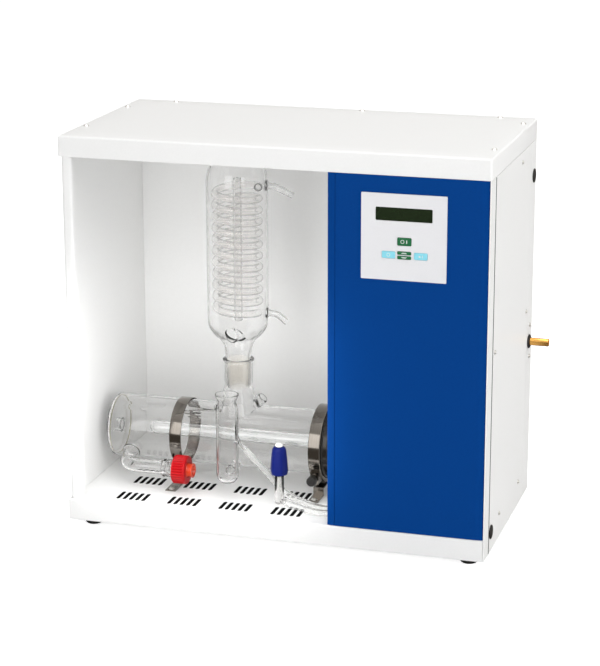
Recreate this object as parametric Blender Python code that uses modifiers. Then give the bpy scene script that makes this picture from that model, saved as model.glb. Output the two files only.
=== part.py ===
"""Glass water still in a sheet-steel cabinet.

A clear glass boiler lies across the open wet bay, a coil condenser stands on its ground joint, and a
closed bay behind the blue front panel holds the controls.  Cabinet coordinates run from the cabinet's
front left bottom corner: x to the right, y to the back, z up.  place() turns them into world metres.
"""
import bmesh
import bpy
import numpy as np
from math import cos, pi, radians, sin
from mathutils import Matrix, Vector

mm = 0.001

# ---------------------------------------------------------------- driving dimensions
CABINET_W = 500 * mm
CABINET_D = 260 * mm
CABINET_H = 460 * mm
FOOT_H = 10 * mm
SHEET = 1.5 * mm
GAP = 0.3 * mm
BASE_H = 26 * mm
LID_SKIRT = 24 * mm
PARTITION_X = 316.5 * mm

BOILER_Y = 115 * mm
BOILER_Z = 85 * mm
BOILER_R = 38.2 * mm
BOILER_LEFT = 18.5 * mm
GLASS = 2.8 * mm
CONDENSER_X = 175 * mm
SERVICE_Y = 50 * mm          # the level vessel, drain and stopcock stand in this plane

OUTLET_REACH = 25 * mm       # brass tube beyond the right side
GLAND_REACH = 12.5 * mm      # mains gland beyond the back
KEY_PROUD = 2.0 * mm         # keys beyond the front

ORIGIN = Vector(((CABINET_W + OUTLET_REACH) / 2, (CABINET_D + GLAND_REACH - KEY_PROUD) / 2, -FOOT_H))

FLOOR = BASE_H + GAP
LID_BOTTOM = CABINET_H - LID_SKIRT
PANEL_TOP = LID_BOTTOM - GAP
INNER_TOP = CABINET_H - SHEET - GAP
BACK_Y = CABINET_D - SHEET - GAP
X_AXIS, Y_AXIS, Z_AXIS = Vector((1, 0, 0)), Vector((0, 1, 0)), Vector((0, 0, 1))


# ---------------------------------------------------------------- scene, collections, materials
for old in list(bpy.data.objects):
    bpy.data.objects.remove(old, do_unlink=True)


def collection(name):
    made = bpy.data.collections.new(name)
    bpy.context.scene.collection.children.link(made)
    return made


PARTS = collection("water_still")
CUTTERS = collection("cutters")


def material(name, color, roughness, metallic=0.0, transmission=0.0):
    made = bpy.data.materials.new(name)
    made.use_nodes = True
    shader = made.node_tree.nodes["Principled BSDF"]
    shader.inputs["Base Color"].default_value = (*color, 1)
    shader.inputs["Roughness"].default_value = roughness
    shader.inputs["Metallic"].default_value = metallic
    shader.inputs["Transmission Weight"].default_value = transmission
    return made


WHITE_PAINT = material("white_powder_coat", (0.88, 0.88, 0.87), 0.45)
BLUE_PAINT = material("blue_powder_coat", (0.012, 0.06, 0.29), 0.4)
LABEL = material("label_film", (0.85, 0.85, 0.87), 0.35)
DARK_WINDOW = material("smoked_window", (0.015, 0.025, 0.012), 0.15)
GREEN_KEY = material("green_key", (0.0, 0.15, 0.04), 0.4)
CYAN_KEY = material("cyan_key", (0.26, 0.77, 0.9), 0.4)
CLEAR_GLASS = material("borosilicate_glass", (0.95, 0.97, 0.96), 0.02, transmission=1.0)
STEEL = material("stainless_steel", (0.55, 0.53, 0.5), 0.22, metallic=1.0)
BRASS = material("brass", (0.8, 0.5, 0.2), 0.25, metallic=1.0)
BLACK_RUBBER = material("black_rubber", (0.015, 0.014, 0.014), 0.7)
BLACK_PLASTIC = material("black_plastic", (0.02, 0.02, 0.02), 0.5)
RED_PLASTIC = material("red_plastic", (0.7, 0.02, 0.02), 0.4)
ORANGE_PLASTIC = material("orange_plastic", (0.8, 0.08, 0.02), 0.4)
BLUE_PLASTIC = material("blue_plastic", (0.01, 0.02, 0.2), 0.4)
WHITE_PLASTIC = material("white_fluoroplastic", (0.85, 0.85, 0.83), 0.4)
CLEAR_HOSE = material("silicone_hose", (0.9, 0.9, 0.88), 0.15, transmission=0.8)
BOARD_GREEN = material("circuit_board", (0.02, 0.15, 0.06), 0.5)


# ---------------------------------------------------------------- modelling tools
def place(x, y, z):
    return Vector((x, y, z)) - ORIGIN


def add(name, mesh, paint):
    """Link a mesh as a sub-part, or as a cutter when it has no paint."""
    thing = bpy.data.objects.new(name, mesh)
    if paint is None:
        thing.hide_render = True
        thing.display_type = "WIRE"
        CUTTERS.objects.link(thing)
    else:
        mesh.materials.append(paint)
        PARTS.objects.link(thing)
    return thing


def box(name, low, high, paint=None, rounding=0.0, keep_bottom=False):
    """A block between two corners, with its upper or all edges rounded."""
    low, high = Vector(low), Vector(high)
    size = high - low
    mesh = bpy.data.meshes.new(name)
    shape = bmesh.new()
    bmesh.ops.create_cube(shape, size=1.0, matrix=Matrix.Diagonal((*size, 1)))
    if rounding:
        edges = [e for e in shape.edges
                 if not (keep_bottom and all(v.co.z < 0 for v in e.verts))]
        bmesh.ops.bevel(shape, geom=edges, offset=rounding, segments=2, profile=0.5, affect="EDGES")
    shape.to_mesh(mesh)
    shape.free()
    thing = add(name, mesh, paint)
    thing.location = place(*((low + high) / 2))
    return thing


def aim(thing, start, direction):
    """Put an object's origin at start and its z axis along direction."""
    thing.location = place(*start)
    thing.rotation_mode = "QUATERNION"
    thing.rotation_quaternion = Vector(direction).to_track_quat("Z", "Y")
    return thing


def rod(name, start, direction, length, radius, paint=None, sides=16):
    """A round bar from start along direction."""
    mesh = bpy.data.meshes.new(name)
    shape = bmesh.new()
    bmesh.ops.create_cone(shape, cap_ends=True, segments=sides, radius1=radius, radius2=radius, depth=length,
                          matrix=Matrix.Translation((0, 0, length / 2)))
    shape.to_mesh(mesh)
    shape.free()
    return aim(add(name, mesh, paint), start, direction)


def turned(name, profile, start, direction=Z_AXIS, paint=None, steps=24, ring=False):
    """Turn (radius, height) points, listed down the outer side, about the axis through start."""
    mesh = bpy.data.meshes.new(name)
    count = len(profile)
    edges = [(i, i + 1) for i in range(count - 1)] + ([(count - 1, 0)] if ring else [])
    mesh.from_pydata([(r, 0, h) for r, h in profile], edges, [])
    thing = aim(add(name, mesh, paint), start, direction)
    screw = thing.modifiers.new("turn", "SCREW")
    screw.angle = 2 * pi
    screw.steps = screw.render_steps = steps
    screw.use_merge_vertices = True
    screw.merge_threshold = 0.00001
    return thing


def outline(name, loops, thickness, paint=None):
    """A flat plate in its own xy plane: the first loop is its edge, the others are holes."""
    curve = bpy.data.curves.new(name, "CURVE")
    curve.dimensions = "2D"
    curve.fill_mode = "BOTH"
    curve.extrude = thickness / 2
    for loop in loops:
        spline = curve.splines.new("POLY")
        spline.points.add(len(loop) - 1)
        spline.points.foreach_set("co", [c for u, v in loop for c in (u, v, 0, 1)])
        spline.use_cyclic_u = True
    return solid_from_curve(name, curve, paint)


def solid_from_curve(name, curve, paint):
    """The closed mesh of a curve object, with its caps welded."""
    guide = bpy.data.objects.new(name + "_guide", curve)
    CUTTERS.objects.link(guide)
    bpy.context.view_layer.update()
    evaluated = guide.evaluated_get(bpy.context.evaluated_depsgraph_get())
    mesh = bpy.data.meshes.new_from_object(evaluated)
    mesh.name = name
    shape = bmesh.new()
    shape.from_mesh(mesh)
    bmesh.ops.remove_doubles(shape, verts=shape.verts, dist=0.000001)
    bmesh.ops.recalc_face_normals(shape, faces=shape.faces)
    shape.to_mesh(mesh)
    shape.free()
    mesh.materials.clear()
    thing = add(name, mesh, paint)
    thing.matrix_world = guide.matrix_world
    bpy.data.objects.remove(guide)
    return thing


def tube(name, points, radius, paint=None, resolution=3):
    """A round bar along points given in cabinet coordinates."""
    curve = bpy.data.curves.new(name, "CURVE")
    curve.dimensions = "3D"
    curve.bevel_depth = radius
    curve.bevel_resolution = resolution
    curve.use_fill_caps = True
    spline = curve.splines.new("POLY")
    spline.points.add(len(points) - 1)
    spline.points.foreach_set("co", [c for p in points for c in (*place(*p), 1)])
    return solid_from_curve(name, curve, paint)


def smooth_route(knots, count):
    """Points at even steps along a Catmull-Rom curve through the knots."""
    knots = np.array(knots, dtype=float)
    ends = np.vstack([2 * knots[0] - knots[1], knots, 2 * knots[-1] - knots[-2]])
    fine = []
    for i in range(len(knots) - 1):
        a, b, c, d = ends[i:i + 4]
        t = np.linspace(0, 1, 24, endpoint=False)[:, None]
        fine.append(0.5 * (2 * b + (c - a) * t + (2 * a - 5 * b + 4 * c - d) * t**2
                           + (3 * b - a - 3 * c + d) * t**3))
    fine = np.vstack(fine + [knots[-1:]])
    run = np.append(0, np.cumsum(np.linalg.norm(np.diff(fine, axis=0), axis=1)))
    even = np.linspace(0, run[-1], count)
    return np.column_stack([np.interp(even, run, fine[:, k]) for k in range(3)])


def boolean(thing, tool, operation="DIFFERENCE"):
    change = thing.modifiers.new(operation.lower(), "BOOLEAN")
    change.operation = operation
    change.object = tool
    change.solver = "EXACT"
    return thing


def join(thing, *tools):
    for tool in tools:
        boolean(thing, tool, "UNION")
    return thing


def cut(thing, *tools):
    for tool in tools:
        boolean(thing, tool)
    return thing


def rounded_rectangle(x0, x1, z0, z1, radius, steps=3):
    """Corner arcs of an upright rectangle, in its own plane."""
    centres = ((x1 - radius, z1 - radius, 0), (x0 + radius, z1 - radius, 90),
               (x0 + radius, z0 + radius, 180), (x1 - radius, z0 + radius, 270))
    return [(cx + radius * cos(radians(turn + 90 * k / steps)), cz + radius * sin(radians(turn + 90 * k / steps)))
            for cx, cz, turn in centres for k in range(steps + 1)]


def upright(thing, front_y, thickness):
    """Stand a plate, drawn in cabinet x and z, so that its front face is at front_y."""
    thing.rotation_euler = (pi / 2, 0, 0)
    thing.location = place(0, front_y + thickness / 2, 0)
    return thing


# ---------------------------------------------------------------- cabinet shell
SLOT_GROUPS_X = [53 * mm + k * 63.5 * mm for k in range(4)]
SLOT_ROWS_Y = (16 * mm, 73 * mm)
SLOT_L, SLOT_W, SLOT_PITCH = 26 * mm, 4.8 * mm, 7.8 * mm
FOOT_X, FOOT_Y = 22 * mm, 25 * mm
FOOT_PLACES = {"front_left": (FOOT_X, FOOT_Y), "front_right": (CABINET_W - FOOT_X, FOOT_Y),
               "back_left": (FOOT_X, CABINET_D - FOOT_Y), "back_right": (CABINET_W - FOOT_X, CABINET_D - FOOT_Y)}
TRAY_RIGHT = CABINET_W - SHEET - GAP

TRAY_MOUTH_Y = 45 * mm        # the tray is open below between this and the same from the back
tray = box("base_tray", (0, 0, 0), (TRAY_RIGHT, CABINET_D, BASE_H), WHITE_PAINT, 1.5 * mm)
tray_hollow = box("tray_hollow", (SHEET, SHEET, SHEET), (TRAY_RIGHT - SHEET, CABINET_D - SHEET, BASE_H - SHEET))
tray_mouth = box("tray_mouth", (SHEET, TRAY_MOUTH_Y, -5 * mm),
                 (TRAY_RIGHT - SHEET, CABINET_D - TRAY_MOUTH_Y, 3 * mm))
cut(tray, tray_hollow, tray_mouth)

slots = []
for x_first in SLOT_GROUPS_X:
    for y_front in SLOT_ROWS_Y:
        for k in range(5):
            x = x_first + k * SLOT_PITCH
            slots.append(rounded_rectangle(x, x + SLOT_W, y_front, y_front + SLOT_L, 1.7 * mm, 1))
slot_cutter = outline("slot_cutter", slots, 6 * mm)
slot_cutter.location = place(0, 0, BASE_H)
cut(tray, slot_cutter)

FOOT_STEM_R = 4 * mm
for side, (x, y) in FOOT_PLACES.items():
    cut(tray, rod("foot_hole_" + side, (x, y, -2 * mm), Z_AXIS, 6 * mm, FOOT_STEM_R + GAP, sides=12))
    barb = SHEET + GAP
    turned("foot_" + side, [(0, barb + 4 * mm), (3 * mm, barb + 4 * mm), (5.5 * mm, barb + 0.5 * mm),
                            (FOOT_STEM_R, barb), (FOOT_STEM_R, -GAP), (10.5 * mm, -GAP),
                            (10.5 * mm, -3 * mm), (9.5 * mm, -FOOT_H + 0.6 * mm), (8.9 * mm, -FOOT_H),
                            (0, -FOOT_H)], (x, y, 0), paint=BLACK_RUBBER, steps=20)

SCREW_R, SCREW_HEAD_R = 1.9 * mm, 3.6 * mm


def button_screw(name, head, inward):
    """A button-head screw whose head sits just off the sheet at head and points inward."""
    away = -Vector(inward)
    return turned(name, [(0, 1.7 * mm), (1.8 * mm, 1.5 * mm), (3.1 * mm, 0.9 * mm), (SCREW_HEAD_R, 0),
                         (SCREW_R - GAP, 0), (SCREW_R - GAP, -7 * mm), (0, -7 * mm)],
                  Vector(head) + away * GAP, away, STEEL, steps=12)


lid = box("top_cover", (0, 0, LID_BOTTOM), (CABINET_W, CABINET_D, CABINET_H), WHITE_PAINT, 2.5 * mm, True)
cut(lid, box("lid_hollow", (SHEET, SHEET, LID_BOTTOM - 5 * mm),
             (CABINET_W - SHEET, CABINET_D - SHEET, CABINET_H - SHEET)))
# The left wall is one folded sheet: rear return, side, rounded front post and its inner lip.
WALL_X = 3 * mm
POST_W = 12.5 * mm
WALL_FRONT = 1.8 * mm
left_wall = outline("left_wall", [[
    (WALL_X, WALL_FRONT + 2.5 * mm), (WALL_X + 0.8 * mm, WALL_FRONT + 0.8 * mm), (WALL_X + 2.5 * mm, WALL_FRONT),
    (WALL_X + POST_W - 2.5 * mm, WALL_FRONT), (WALL_X + POST_W - 0.8 * mm, WALL_FRONT + 0.8 * mm),
    (WALL_X + POST_W, WALL_FRONT + 2.5 * mm), (WALL_X + POST_W, WALL_FRONT + 10 * mm),
    (WALL_X + POST_W - SHEET, WALL_FRONT + 10 * mm), (WALL_X + POST_W - SHEET, WALL_FRONT + 2.8 * mm),
    (WALL_X + POST_W - 2.8 * mm, WALL_FRONT + SHEET), (WALL_X + 2.8 * mm, WALL_FRONT + SHEET),
    (WALL_X + SHEET, WALL_FRONT + 2.8 * mm), (WALL_X + SHEET, BACK_Y - SHEET - GAP),
    (WALL_X, BACK_Y - SHEET - GAP)]], INNER_TOP - FLOOR, WHITE_PAINT)
left_wall.location = place(0, 0, (INNER_TOP + FLOOR) / 2)

SKIN_X = CABINET_W - SHEET
REAR_STRIP_Y = 226.3 * mm
GLAND_X, GLAND_Z, GLAND_R = 455 * mm, 70 * mm, 8 * mm
OUTLET_Y, OUTLET_Z = 236.5 * mm, 194 * mm
OUTLET_HOLE_R = 7 * mm
PLUG_R = 6.7 * mm

back_wall = box("back_wall", (WALL_X, BACK_Y - SHEET, FLOOR), (SKIN_X - GAP, BACK_Y, INNER_TOP), WHITE_PAINT)
join(back_wall, box("back_corner", (SKIN_X - 6 * mm, BACK_Y - SHEET, FLOOR), (CABINET_W, BACK_Y, PANEL_TOP)),
     box("rear_strip", (SKIN_X, REAR_STRIP_Y, 1 * mm), (CABINET_W, BACK_Y, PANEL_TOP)))
cut(back_wall, rod("gland_hole", (GLAND_X, BACK_Y - 8 * mm, GLAND_Z), Y_AXIS, 14 * mm, GLAND_R + GAP, sides=16),
    rod("outlet_hole", (SKIN_X - 3 * mm, OUTLET_Y, OUTLET_Z), X_AXIS, 8 * mm, OUTLET_HOLE_R, sides=20))

SIDE_POST_Y = 23.7 * mm
right_post = box("right_front_post", (SKIN_X, GAP, 1 * mm), (CABINET_W, SIDE_POST_Y, PANEL_TOP), WHITE_PAINT)
join(right_post, box("post_return", (478 * mm, SIDE_POST_Y - SHEET, FLOOR), (CABINET_W, SIDE_POST_Y, PANEL_TOP)))

service_panel = box("right_service_panel", (SKIN_X, SIDE_POST_Y + 2 * GAP, 1 * mm),
                    (CABINET_W, REAR_STRIP_Y - 2 * GAP, PANEL_TOP), WHITE_PAINT)
for label, sheets, y, z in (("front", (service_panel, tray), 34 * mm, 25 * mm),
                            ("rear", (back_wall,), 243.5 * mm, 394.6 * mm)):
    for sheet in sheets:
        cut(sheet, rod(f"plug_hole_{label}_{sheet.name}", (SKIN_X - 6 * mm, y, z), X_AXIS, 10 * mm,
                       PLUG_R + GAP, sides=16))
    turned("hole_plug_" + label, [(0, 1.4 * mm), (7 * mm, 1.3 * mm), (8.3 * mm, 0.5 * mm), (8.3 * mm, 0),
                                  (PLUG_R, 0), (PLUG_R - 0.5 * mm, -5 * mm), (0, -5 * mm)],
           (CABINET_W + GAP, y, z), X_AXIS, BLACK_PLASTIC, steps=16)

HEATER_NECK_R = 22 * mm
HOSE_R = 4.3 * mm
HOSE_Z = BASE_H + HOSE_R + GAP
FEED_EXIT = (PARTITION_X + 12 * mm, 21.5 * mm, HOSE_Z + 1.5 * mm)
OVERFLOW_EXIT = (PARTITION_X + 12 * mm, 36 * mm, HOSE_Z + 1.5 * mm)
partition = box("partition_wall", (PARTITION_X, 12.5 * mm, FLOOR),
                (PARTITION_X + SHEET, BACK_Y - SHEET - GAP, INNER_TOP), WHITE_PAINT)
cut(partition, rod("heater_hole", (PARTITION_X - 5 * mm, BOILER_Y, BOILER_Z), X_AXIS, 12 * mm,
                   HEATER_NECK_R + 1 * mm, sides=24))
for label, (x, y, z) in (("feed", FEED_EXIT), ("overflow", OVERFLOW_EXIT)):
    cut(partition, rod(label + "_hole", (PARTITION_X - 5 * mm, y, z), X_AXIS, 12 * mm, HOSE_R + 0.6 * mm,
                       sides=12))

# ---------------------------------------------------------------- front panel, keypad and display
PANEL_LEFT, PANEL_RIGHT = 317 * mm, SKIN_X - GAP
PANEL_LIP = 12 * mm
KEYPAD = (356 * mm, 452 * mm, 320 * mm, 416.5 * mm)
front_panel = outline("blue_front_panel", [[
    (PANEL_LEFT, PANEL_LIP), (PANEL_LEFT, 1 * mm), (PANEL_LEFT + 9 * mm, 0), (PANEL_RIGHT - 9 * mm, 0),
    (PANEL_RIGHT, 1 * mm), (PANEL_RIGHT, PANEL_LIP), (PANEL_RIGHT - SHEET, PANEL_LIP),
    (PANEL_RIGHT - SHEET, 1.2 * mm + SHEET), (PANEL_RIGHT - 9 * mm, SHEET), (PANEL_LEFT + 9 * mm, SHEET),
    (PANEL_LEFT + SHEET, 1.2 * mm + SHEET), (PANEL_LEFT + SHEET, PANEL_LIP)]], PANEL_TOP - FLOOR, BLUE_PAINT)
front_panel.location = place(0, 0, (PANEL_TOP + FLOOR) / 2)
WINDOW_MARGIN = 8 * mm        # the overlay reaches this far or more beyond the panel's cut-out
cut(front_panel, box("keypad_window", (KEYPAD[0] + WINDOW_MARGIN, -5 * mm, KEYPAD[2] + 10 * mm),
                     (KEYPAD[1] - WINDOW_MARGIN, 8 * mm, KEYPAD[3] - 8.5 * mm)))

OVERLAY_T = 1.2 * mm
DISPLAY = (372.4 * mm, 435.6 * mm, 386.6 * mm, 401 * mm)
KEYS = {"power": (404.7 * mm, 363.8 * mm, 15.6 * mm, 8.8 * mm, GREEN_KEY),
        "left": (387.1 * mm, 348.4 * mm, 14.8 * mm, 7.6 * mm, CYAN_KEY),
        "right": (423.3 * mm, 348.4 * mm, 14.8 * mm, 7.6 * mm, CYAN_KEY),
        "up": (404.7 * mm, 351 * mm, 15.4 * mm, 3.6 * mm, GREEN_KEY),
        "down": (404.7 * mm, 346 * mm, 15.4 * mm, 3.6 * mm, GREEN_KEY)}
overlay_holes = [rounded_rectangle(DISPLAY[0] - GAP, DISPLAY[1] + GAP, DISPLAY[2] - GAP, DISPLAY[3] + GAP,
                                   0.8 * mm, 1)]
for key, (x, z, width, height, paint) in KEYS.items():
    edges = (x - width / 2, x + width / 2, z - height / 2, z + height / 2)
    overlay_holes.append(rounded_rectangle(edges[0] - GAP, edges[1] + GAP, edges[2] - GAP, edges[3] + GAP,
                                           1 * mm, 1))
    cap_t = KEY_PROUD - 0.2 * mm
    upright(outline("key_" + key, [rounded_rectangle(*edges, 0.8 * mm, 2)], cap_t, paint), -KEY_PROUD, cap_t)
upright(outline("keypad_overlay", [rounded_rectangle(*KEYPAD, 0.8 * mm)] + overlay_holes, OVERLAY_T, LABEL),
        -OVERLAY_T - GAP, OVERLAY_T)
upright(outline("display_window", [rounded_rectangle(*DISPLAY, 0.6 * mm, 1)], 0.9 * mm, DARK_WINDOW),
        -1.3 * mm, 0.9 * mm)
box("display_module", (368 * mm, 3 * mm, 381 * mm), (440 * mm, 9 * mm, 406 * mm), BLACK_PLASTIC, 0.6 * mm)

BOARD_Y = 14 * mm
board = box("control_board", (352 * mm, BOARD_Y, 312 * mm), (468 * mm, BOARD_Y + 1.6 * mm, 424 * mm), BOARD_GREEN)
for key, (x, z, width, height, paint) in KEYS.items():
    join(board, rod("switch_" + key, (x, BOARD_Y + 0.5 * mm, z), -Y_AXIS, BOARD_Y, 1.4 * mm, sides=8))
join(board, box("board_chip", (380 * mm, BOARD_Y + 1 * mm, 330 * mm), (404 * mm, BOARD_Y + 6 * mm, 346 * mm)),
     box("board_relay", (420 * mm, BOARD_Y + 1 * mm, 356 * mm), (446 * mm, BOARD_Y + 16 * mm, 372 * mm)))

# ---------------------------------------------------------------- boiler
BOILER_RIGHT = 284.8 * mm
FLANGE_R = 43.5 * mm
FLANGE_T = 4.6 * mm
CORNER = 9 * mm


def corner_arc(centre_r, centre_x, radius, steps=5):
    """Quarter of a turned corner, from the side towards the flat end."""
    return [(centre_r + radius * cos(radians(90 * k / steps)), centre_x - radius * sin(radians(90 * k / steps)))
            for k in range(steps + 1)]


length = BOILER_RIGHT - BOILER_LEFT
inner_r = BOILER_R - GLASS
inner_wall = [(r, h) for r, h in reversed(corner_arc(BOILER_R - CORNER, CORNER, CORNER - GLASS))]
boiler_profile = ([(0, GLASS)] + inner_wall
                  + [(inner_r, length), (FLANGE_R, length), (FLANGE_R, length - FLANGE_T),
                     (BOILER_R + 1.5 * mm, length - FLANGE_T - 1.5 * mm), (BOILER_R, length - FLANGE_T - 6 * mm)]
                  + corner_arc(BOILER_R - CORNER, CORNER, CORNER) + [(0, 0)])
boiler = turned("boiler_glass", boiler_profile, (BOILER_LEFT, BOILER_Y, BOILER_Z), X_AXIS, CLEAR_GLASS, 32)

SOCKET_TOP = 181 * mm
SOCKET_L = 32 * mm
CONE_R = 14.6 * mm           # 29/32 ground joint, tapering one in ten on the diameter
CONE_FOOT_R = 13.0 * mm
GROUND_GAP = 0.3 * mm
neck = turned("neck", [(0, 63 * mm), (18.7 * mm, 63 * mm), (18.7 * mm, 60 * mm), (16.8 * mm, 57.5 * mm),
                       (16.8 * mm, 31 * mm), (18 * mm, 24 * mm), (20.5 * mm, 14 * mm), (25.5 * mm, 4 * mm),
                       (27 * mm, -8 * mm), (0, -8 * mm)], (CONDENSER_X, BOILER_Y, SOCKET_TOP - 63 * mm))
bore = turned("neck_bore", [(0, 65 * mm), (CONE_R + GROUND_GAP + 0.1 * mm, 65 * mm),
                            (CONE_FOOT_R + GROUND_GAP, 63 * mm - SOCKET_L), (15.8 * mm, 24 * mm),
                            (18 * mm, 14 * mm), (22.5 * mm, 3 * mm), (23.5 * mm, -20 * mm), (0, -20 * mm)],
              (CONDENSER_X, BOILER_Y, SOCKET_TOP - 63 * mm))
STUB_START = (184 * mm, 113 * mm, 112 * mm)
STUB_WAY = Vector((0.69, -0.05, 0.72)).normalized()
stub = turned("filling_stub", [(0, 31 * mm), (5.6 * mm, 31 * mm), (6 * mm, 30 * mm), (5.5 * mm, 17 * mm),
                               (3.4 * mm, 14 * mm), (3.4 * mm, 0), (0, 0)], STUB_START, STUB_WAY, steps=16)
stub_bore = turned("stub_bore", [(0, 33 * mm), (4.2 * mm, 33 * mm), (4 * mm, 18 * mm), (2 * mm, 15 * mm),
                                 (2 * mm, -6 * mm), (0, -6 * mm)], STUB_START, STUB_WAY, steps=16)
end_port = turned("end_port", [(0, 9 * mm), (8 * mm, 9 * mm), (8 * mm, 0), (0, 0)],
                  (BOILER_LEFT + 1.5 * mm, BOILER_Y + 14 * mm, BOILER_Z - 6 * mm), -X_AXIS, steps=16)
end_bore = rod("end_port_bore", (BOILER_LEFT + 6 * mm, BOILER_Y + 14 * mm, BOILER_Z - 6 * mm), -X_AXIS, 20 * mm,
               6.2 * mm)
# The neck and the stub are melted on, so nothing of them stays inside the boiler.
NECK_ROOM = 34 * mm
neck_room = rod("neck_room", (CONDENSER_X - NECK_ROOM, BOILER_Y, BOILER_Z), X_AXIS, 2 * NECK_ROOM,
                inner_r - 0.4 * mm, sides=32)
join(boiler, neck, stub, end_port)
cut(boiler, neck_room, bore, stub_bore, end_bore)

# ---------------------------------------------------------------- drain arm and its screw cap
DRAIN_Z = 56.8 * mm
DRAIN_Y = SERVICE_Y + 2 * mm
DRAIN_R = 8.1 * mm
CAP_X = 115.5 * mm
drain_route = smooth_route([(102 * mm, DRAIN_Y, DRAIN_Z), (84 * mm, DRAIN_Y, DRAIN_Z),
                            (66 * mm, DRAIN_Y, DRAIN_Z),
                            (54.5 * mm, DRAIN_Y + 4 * mm, DRAIN_Z + 1 * mm),
                            (51 * mm, DRAIN_Y + 15 * mm, DRAIN_Z + 4 * mm),
                            (51 * mm, BOILER_Y - 37.2 * mm, DRAIN_Z + 8.5 * mm)], 14)
drain = tube("drain_arm", drain_route, DRAIN_R, CLEAR_GLASS, 4)
THREAD_R = 9.2 * mm
join(drain, turned("drain_thread", [(0, 26 * mm)] + [(r, h * mm) for h, r in
                   ((26, THREAD_R), (24, THREAD_R + 1.4 * mm), (22, THREAD_R), (20, THREAD_R + 1.4 * mm),
                    (18, THREAD_R), (9, THREAD_R), (7, THREAD_R + 1 * mm),
                    (5, DRAIN_R - 0.2 * mm))] + [(0, 5 * mm)],
                   (96 * mm, DRAIN_Y, DRAIN_Z), X_AXIS, steps=20))
cut(drain, tube("drain_bore", [(132 * mm, DRAIN_Y, DRAIN_Z)] + list(drain_route[:-1])
                + [drain_route[-1] + np.array((0, 6 * mm, 1 * mm))], DRAIN_R - 2 * mm, resolution=4))

CAP_R, CAP_L, CAP_RIBS = 17 * mm, 16.5 * mm, 30
CAP_WALL = 2.5 * mm           # thickness of its closed end
DRAIN_END = 122 * mm
ring_angles = [2 * pi * k / (2 * CAP_RIBS) for k in range(2 * CAP_RIBS)]
cap_edge = [((CAP_R - 0.9 * mm * (k % 2)) * cos(a), (CAP_R - 0.9 * mm * (k % 2)) * sin(a))
            for k, a in enumerate(ring_angles)]
cap = outline("drain_cap", [cap_edge], CAP_L, RED_PLASTIC)
aim(cap, (CAP_X + CAP_L / 2, DRAIN_Y, DRAIN_Z), X_AXIS)
cut(cap, rod("cap_thread", (CAP_X - 5 * mm, DRAIN_Y, DRAIN_Z), X_AXIS,
             CAP_L + 5 * mm - CAP_WALL, THREAD_R + 1.9 * mm, sides=24),
    rod("cap_mouth", (CAP_X - 5 * mm, DRAIN_Y, DRAIN_Z), X_AXIS, CAP_L + 10 * mm, 9 * mm, sides=24))
NOZZLE_X = DRAIN_END + 2.2 * mm
turned("drain_nozzle", [(8.6 * mm, 14.5 * mm), (8.6 * mm, 5.2 * mm), (10.6 * mm, 5 * mm), (10.6 * mm, GAP),
                        (5 * mm, GAP), (5 * mm, 11 * mm), (6.5 * mm, 14.5 * mm)],
       (NOZZLE_X, DRAIN_Y, DRAIN_Z), X_AXIS, ORANGE_PLASTIC, 20, True)
turned("drain_seal", [(10.4 * mm, 1.8 * mm), (10.4 * mm, GAP), (5 * mm, GAP), (5 * mm, 1.8 * mm)],
       (DRAIN_END, DRAIN_Y, DRAIN_Z), X_AXIS, WHITE_PLASTIC, 20, True)

# ---------------------------------------------------------------- level vessel
VESSEL_X = 181.7 * mm
VESSEL_R = 13.2 * mm
VESSEL_FOOT = 48 * mm
WALL = 1.8 * mm
vessel = turned("level_vessel", [
    (0, WALL), (8 * mm, 2.4 * mm), (VESSEL_R - WALL, 7 * mm), (VESSEL_R - WALL, 92 * mm),
    (9.2 * mm, 98 * mm), (9.2 * mm, 100 * mm), (12.6 * mm, 108 * mm), (14.2 * mm, 108 * mm),
    (14.2 * mm, 106.6 * mm), (10.9 * mm, 99 * mm), (VESSEL_R, 92.5 * mm), (VESSEL_R, 6 * mm),
    (8.8 * mm, 0.8 * mm), (0, 0)], (VESSEL_X, SERVICE_Y, VESSEL_FOOT), paint=CLEAR_GLASS, steps=24)
SPIGOT_START = Vector((VESSEL_X + 11.8 * mm, SERVICE_Y, 100 * mm))
SPIGOT_WAY = Vector((0.70, 0.08, -0.71)).normalized()
LINK_Z = 58 * mm
spigot = rod("spigot", SPIGOT_START, SPIGOT_WAY, 14 * mm, 2.6 * mm, sides=12)
link = rod("level_link", (VESSEL_X, SERVICE_Y + 12 * mm, LINK_Z), Y_AXIS, 21 * mm, 5 * mm, sides=16)
join(vessel, spigot, link)
cut(vessel, rod("spigot_bore", SPIGOT_START - SPIGOT_WAY * 4 * mm, SPIGOT_WAY, 24 * mm, 1.5 * mm, sides=12),
    rod("link_bore", (VESSEL_X, SERVICE_Y + 6 * mm, LINK_Z), Y_AXIS, 40 * mm, 3.4 * mm, sides=16))

# ---------------------------------------------------------------- condenser
jacket_outer = [(8, 452), (8, 440), (14, 433), (24, 426.5), (30, 417), (34.2, 406), (36.2, 397), (36.2, 230),
                (34.6, 220), (28.5, 211), (21, 205), (17.4, 198), (15, 186), (14.6, 179), (13.0, 149),
                (13.0, 146)]
jacket_inner = [(10.6, 146), (12.2, 179), (12.6, 187), (15, 199), (19, 207.2), (26.8, 213.3), (32.2, 221.4),
                (33.8, 230), (33.8, 397), (31.8, 405), (27.8, 415), (22.4, 424.2), (12.6, 430.4), (5.5, 438),
                (5.5, 452)]
jacket = turned("condenser_jacket", [(r * mm, z * mm) for r, z in jacket_outer + jacket_inner],
                (CONDENSER_X, BOILER_Y, 0), paint=CLEAR_GLASS, steps=28, ring=True)
ARM_R = 3.9 * mm
ARM_END_UP = (243 * mm, BOILER_Y, 382 * mm)
ARM_END_LOW = (235.5 * mm, BOILER_Y, 229 * mm)
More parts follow.
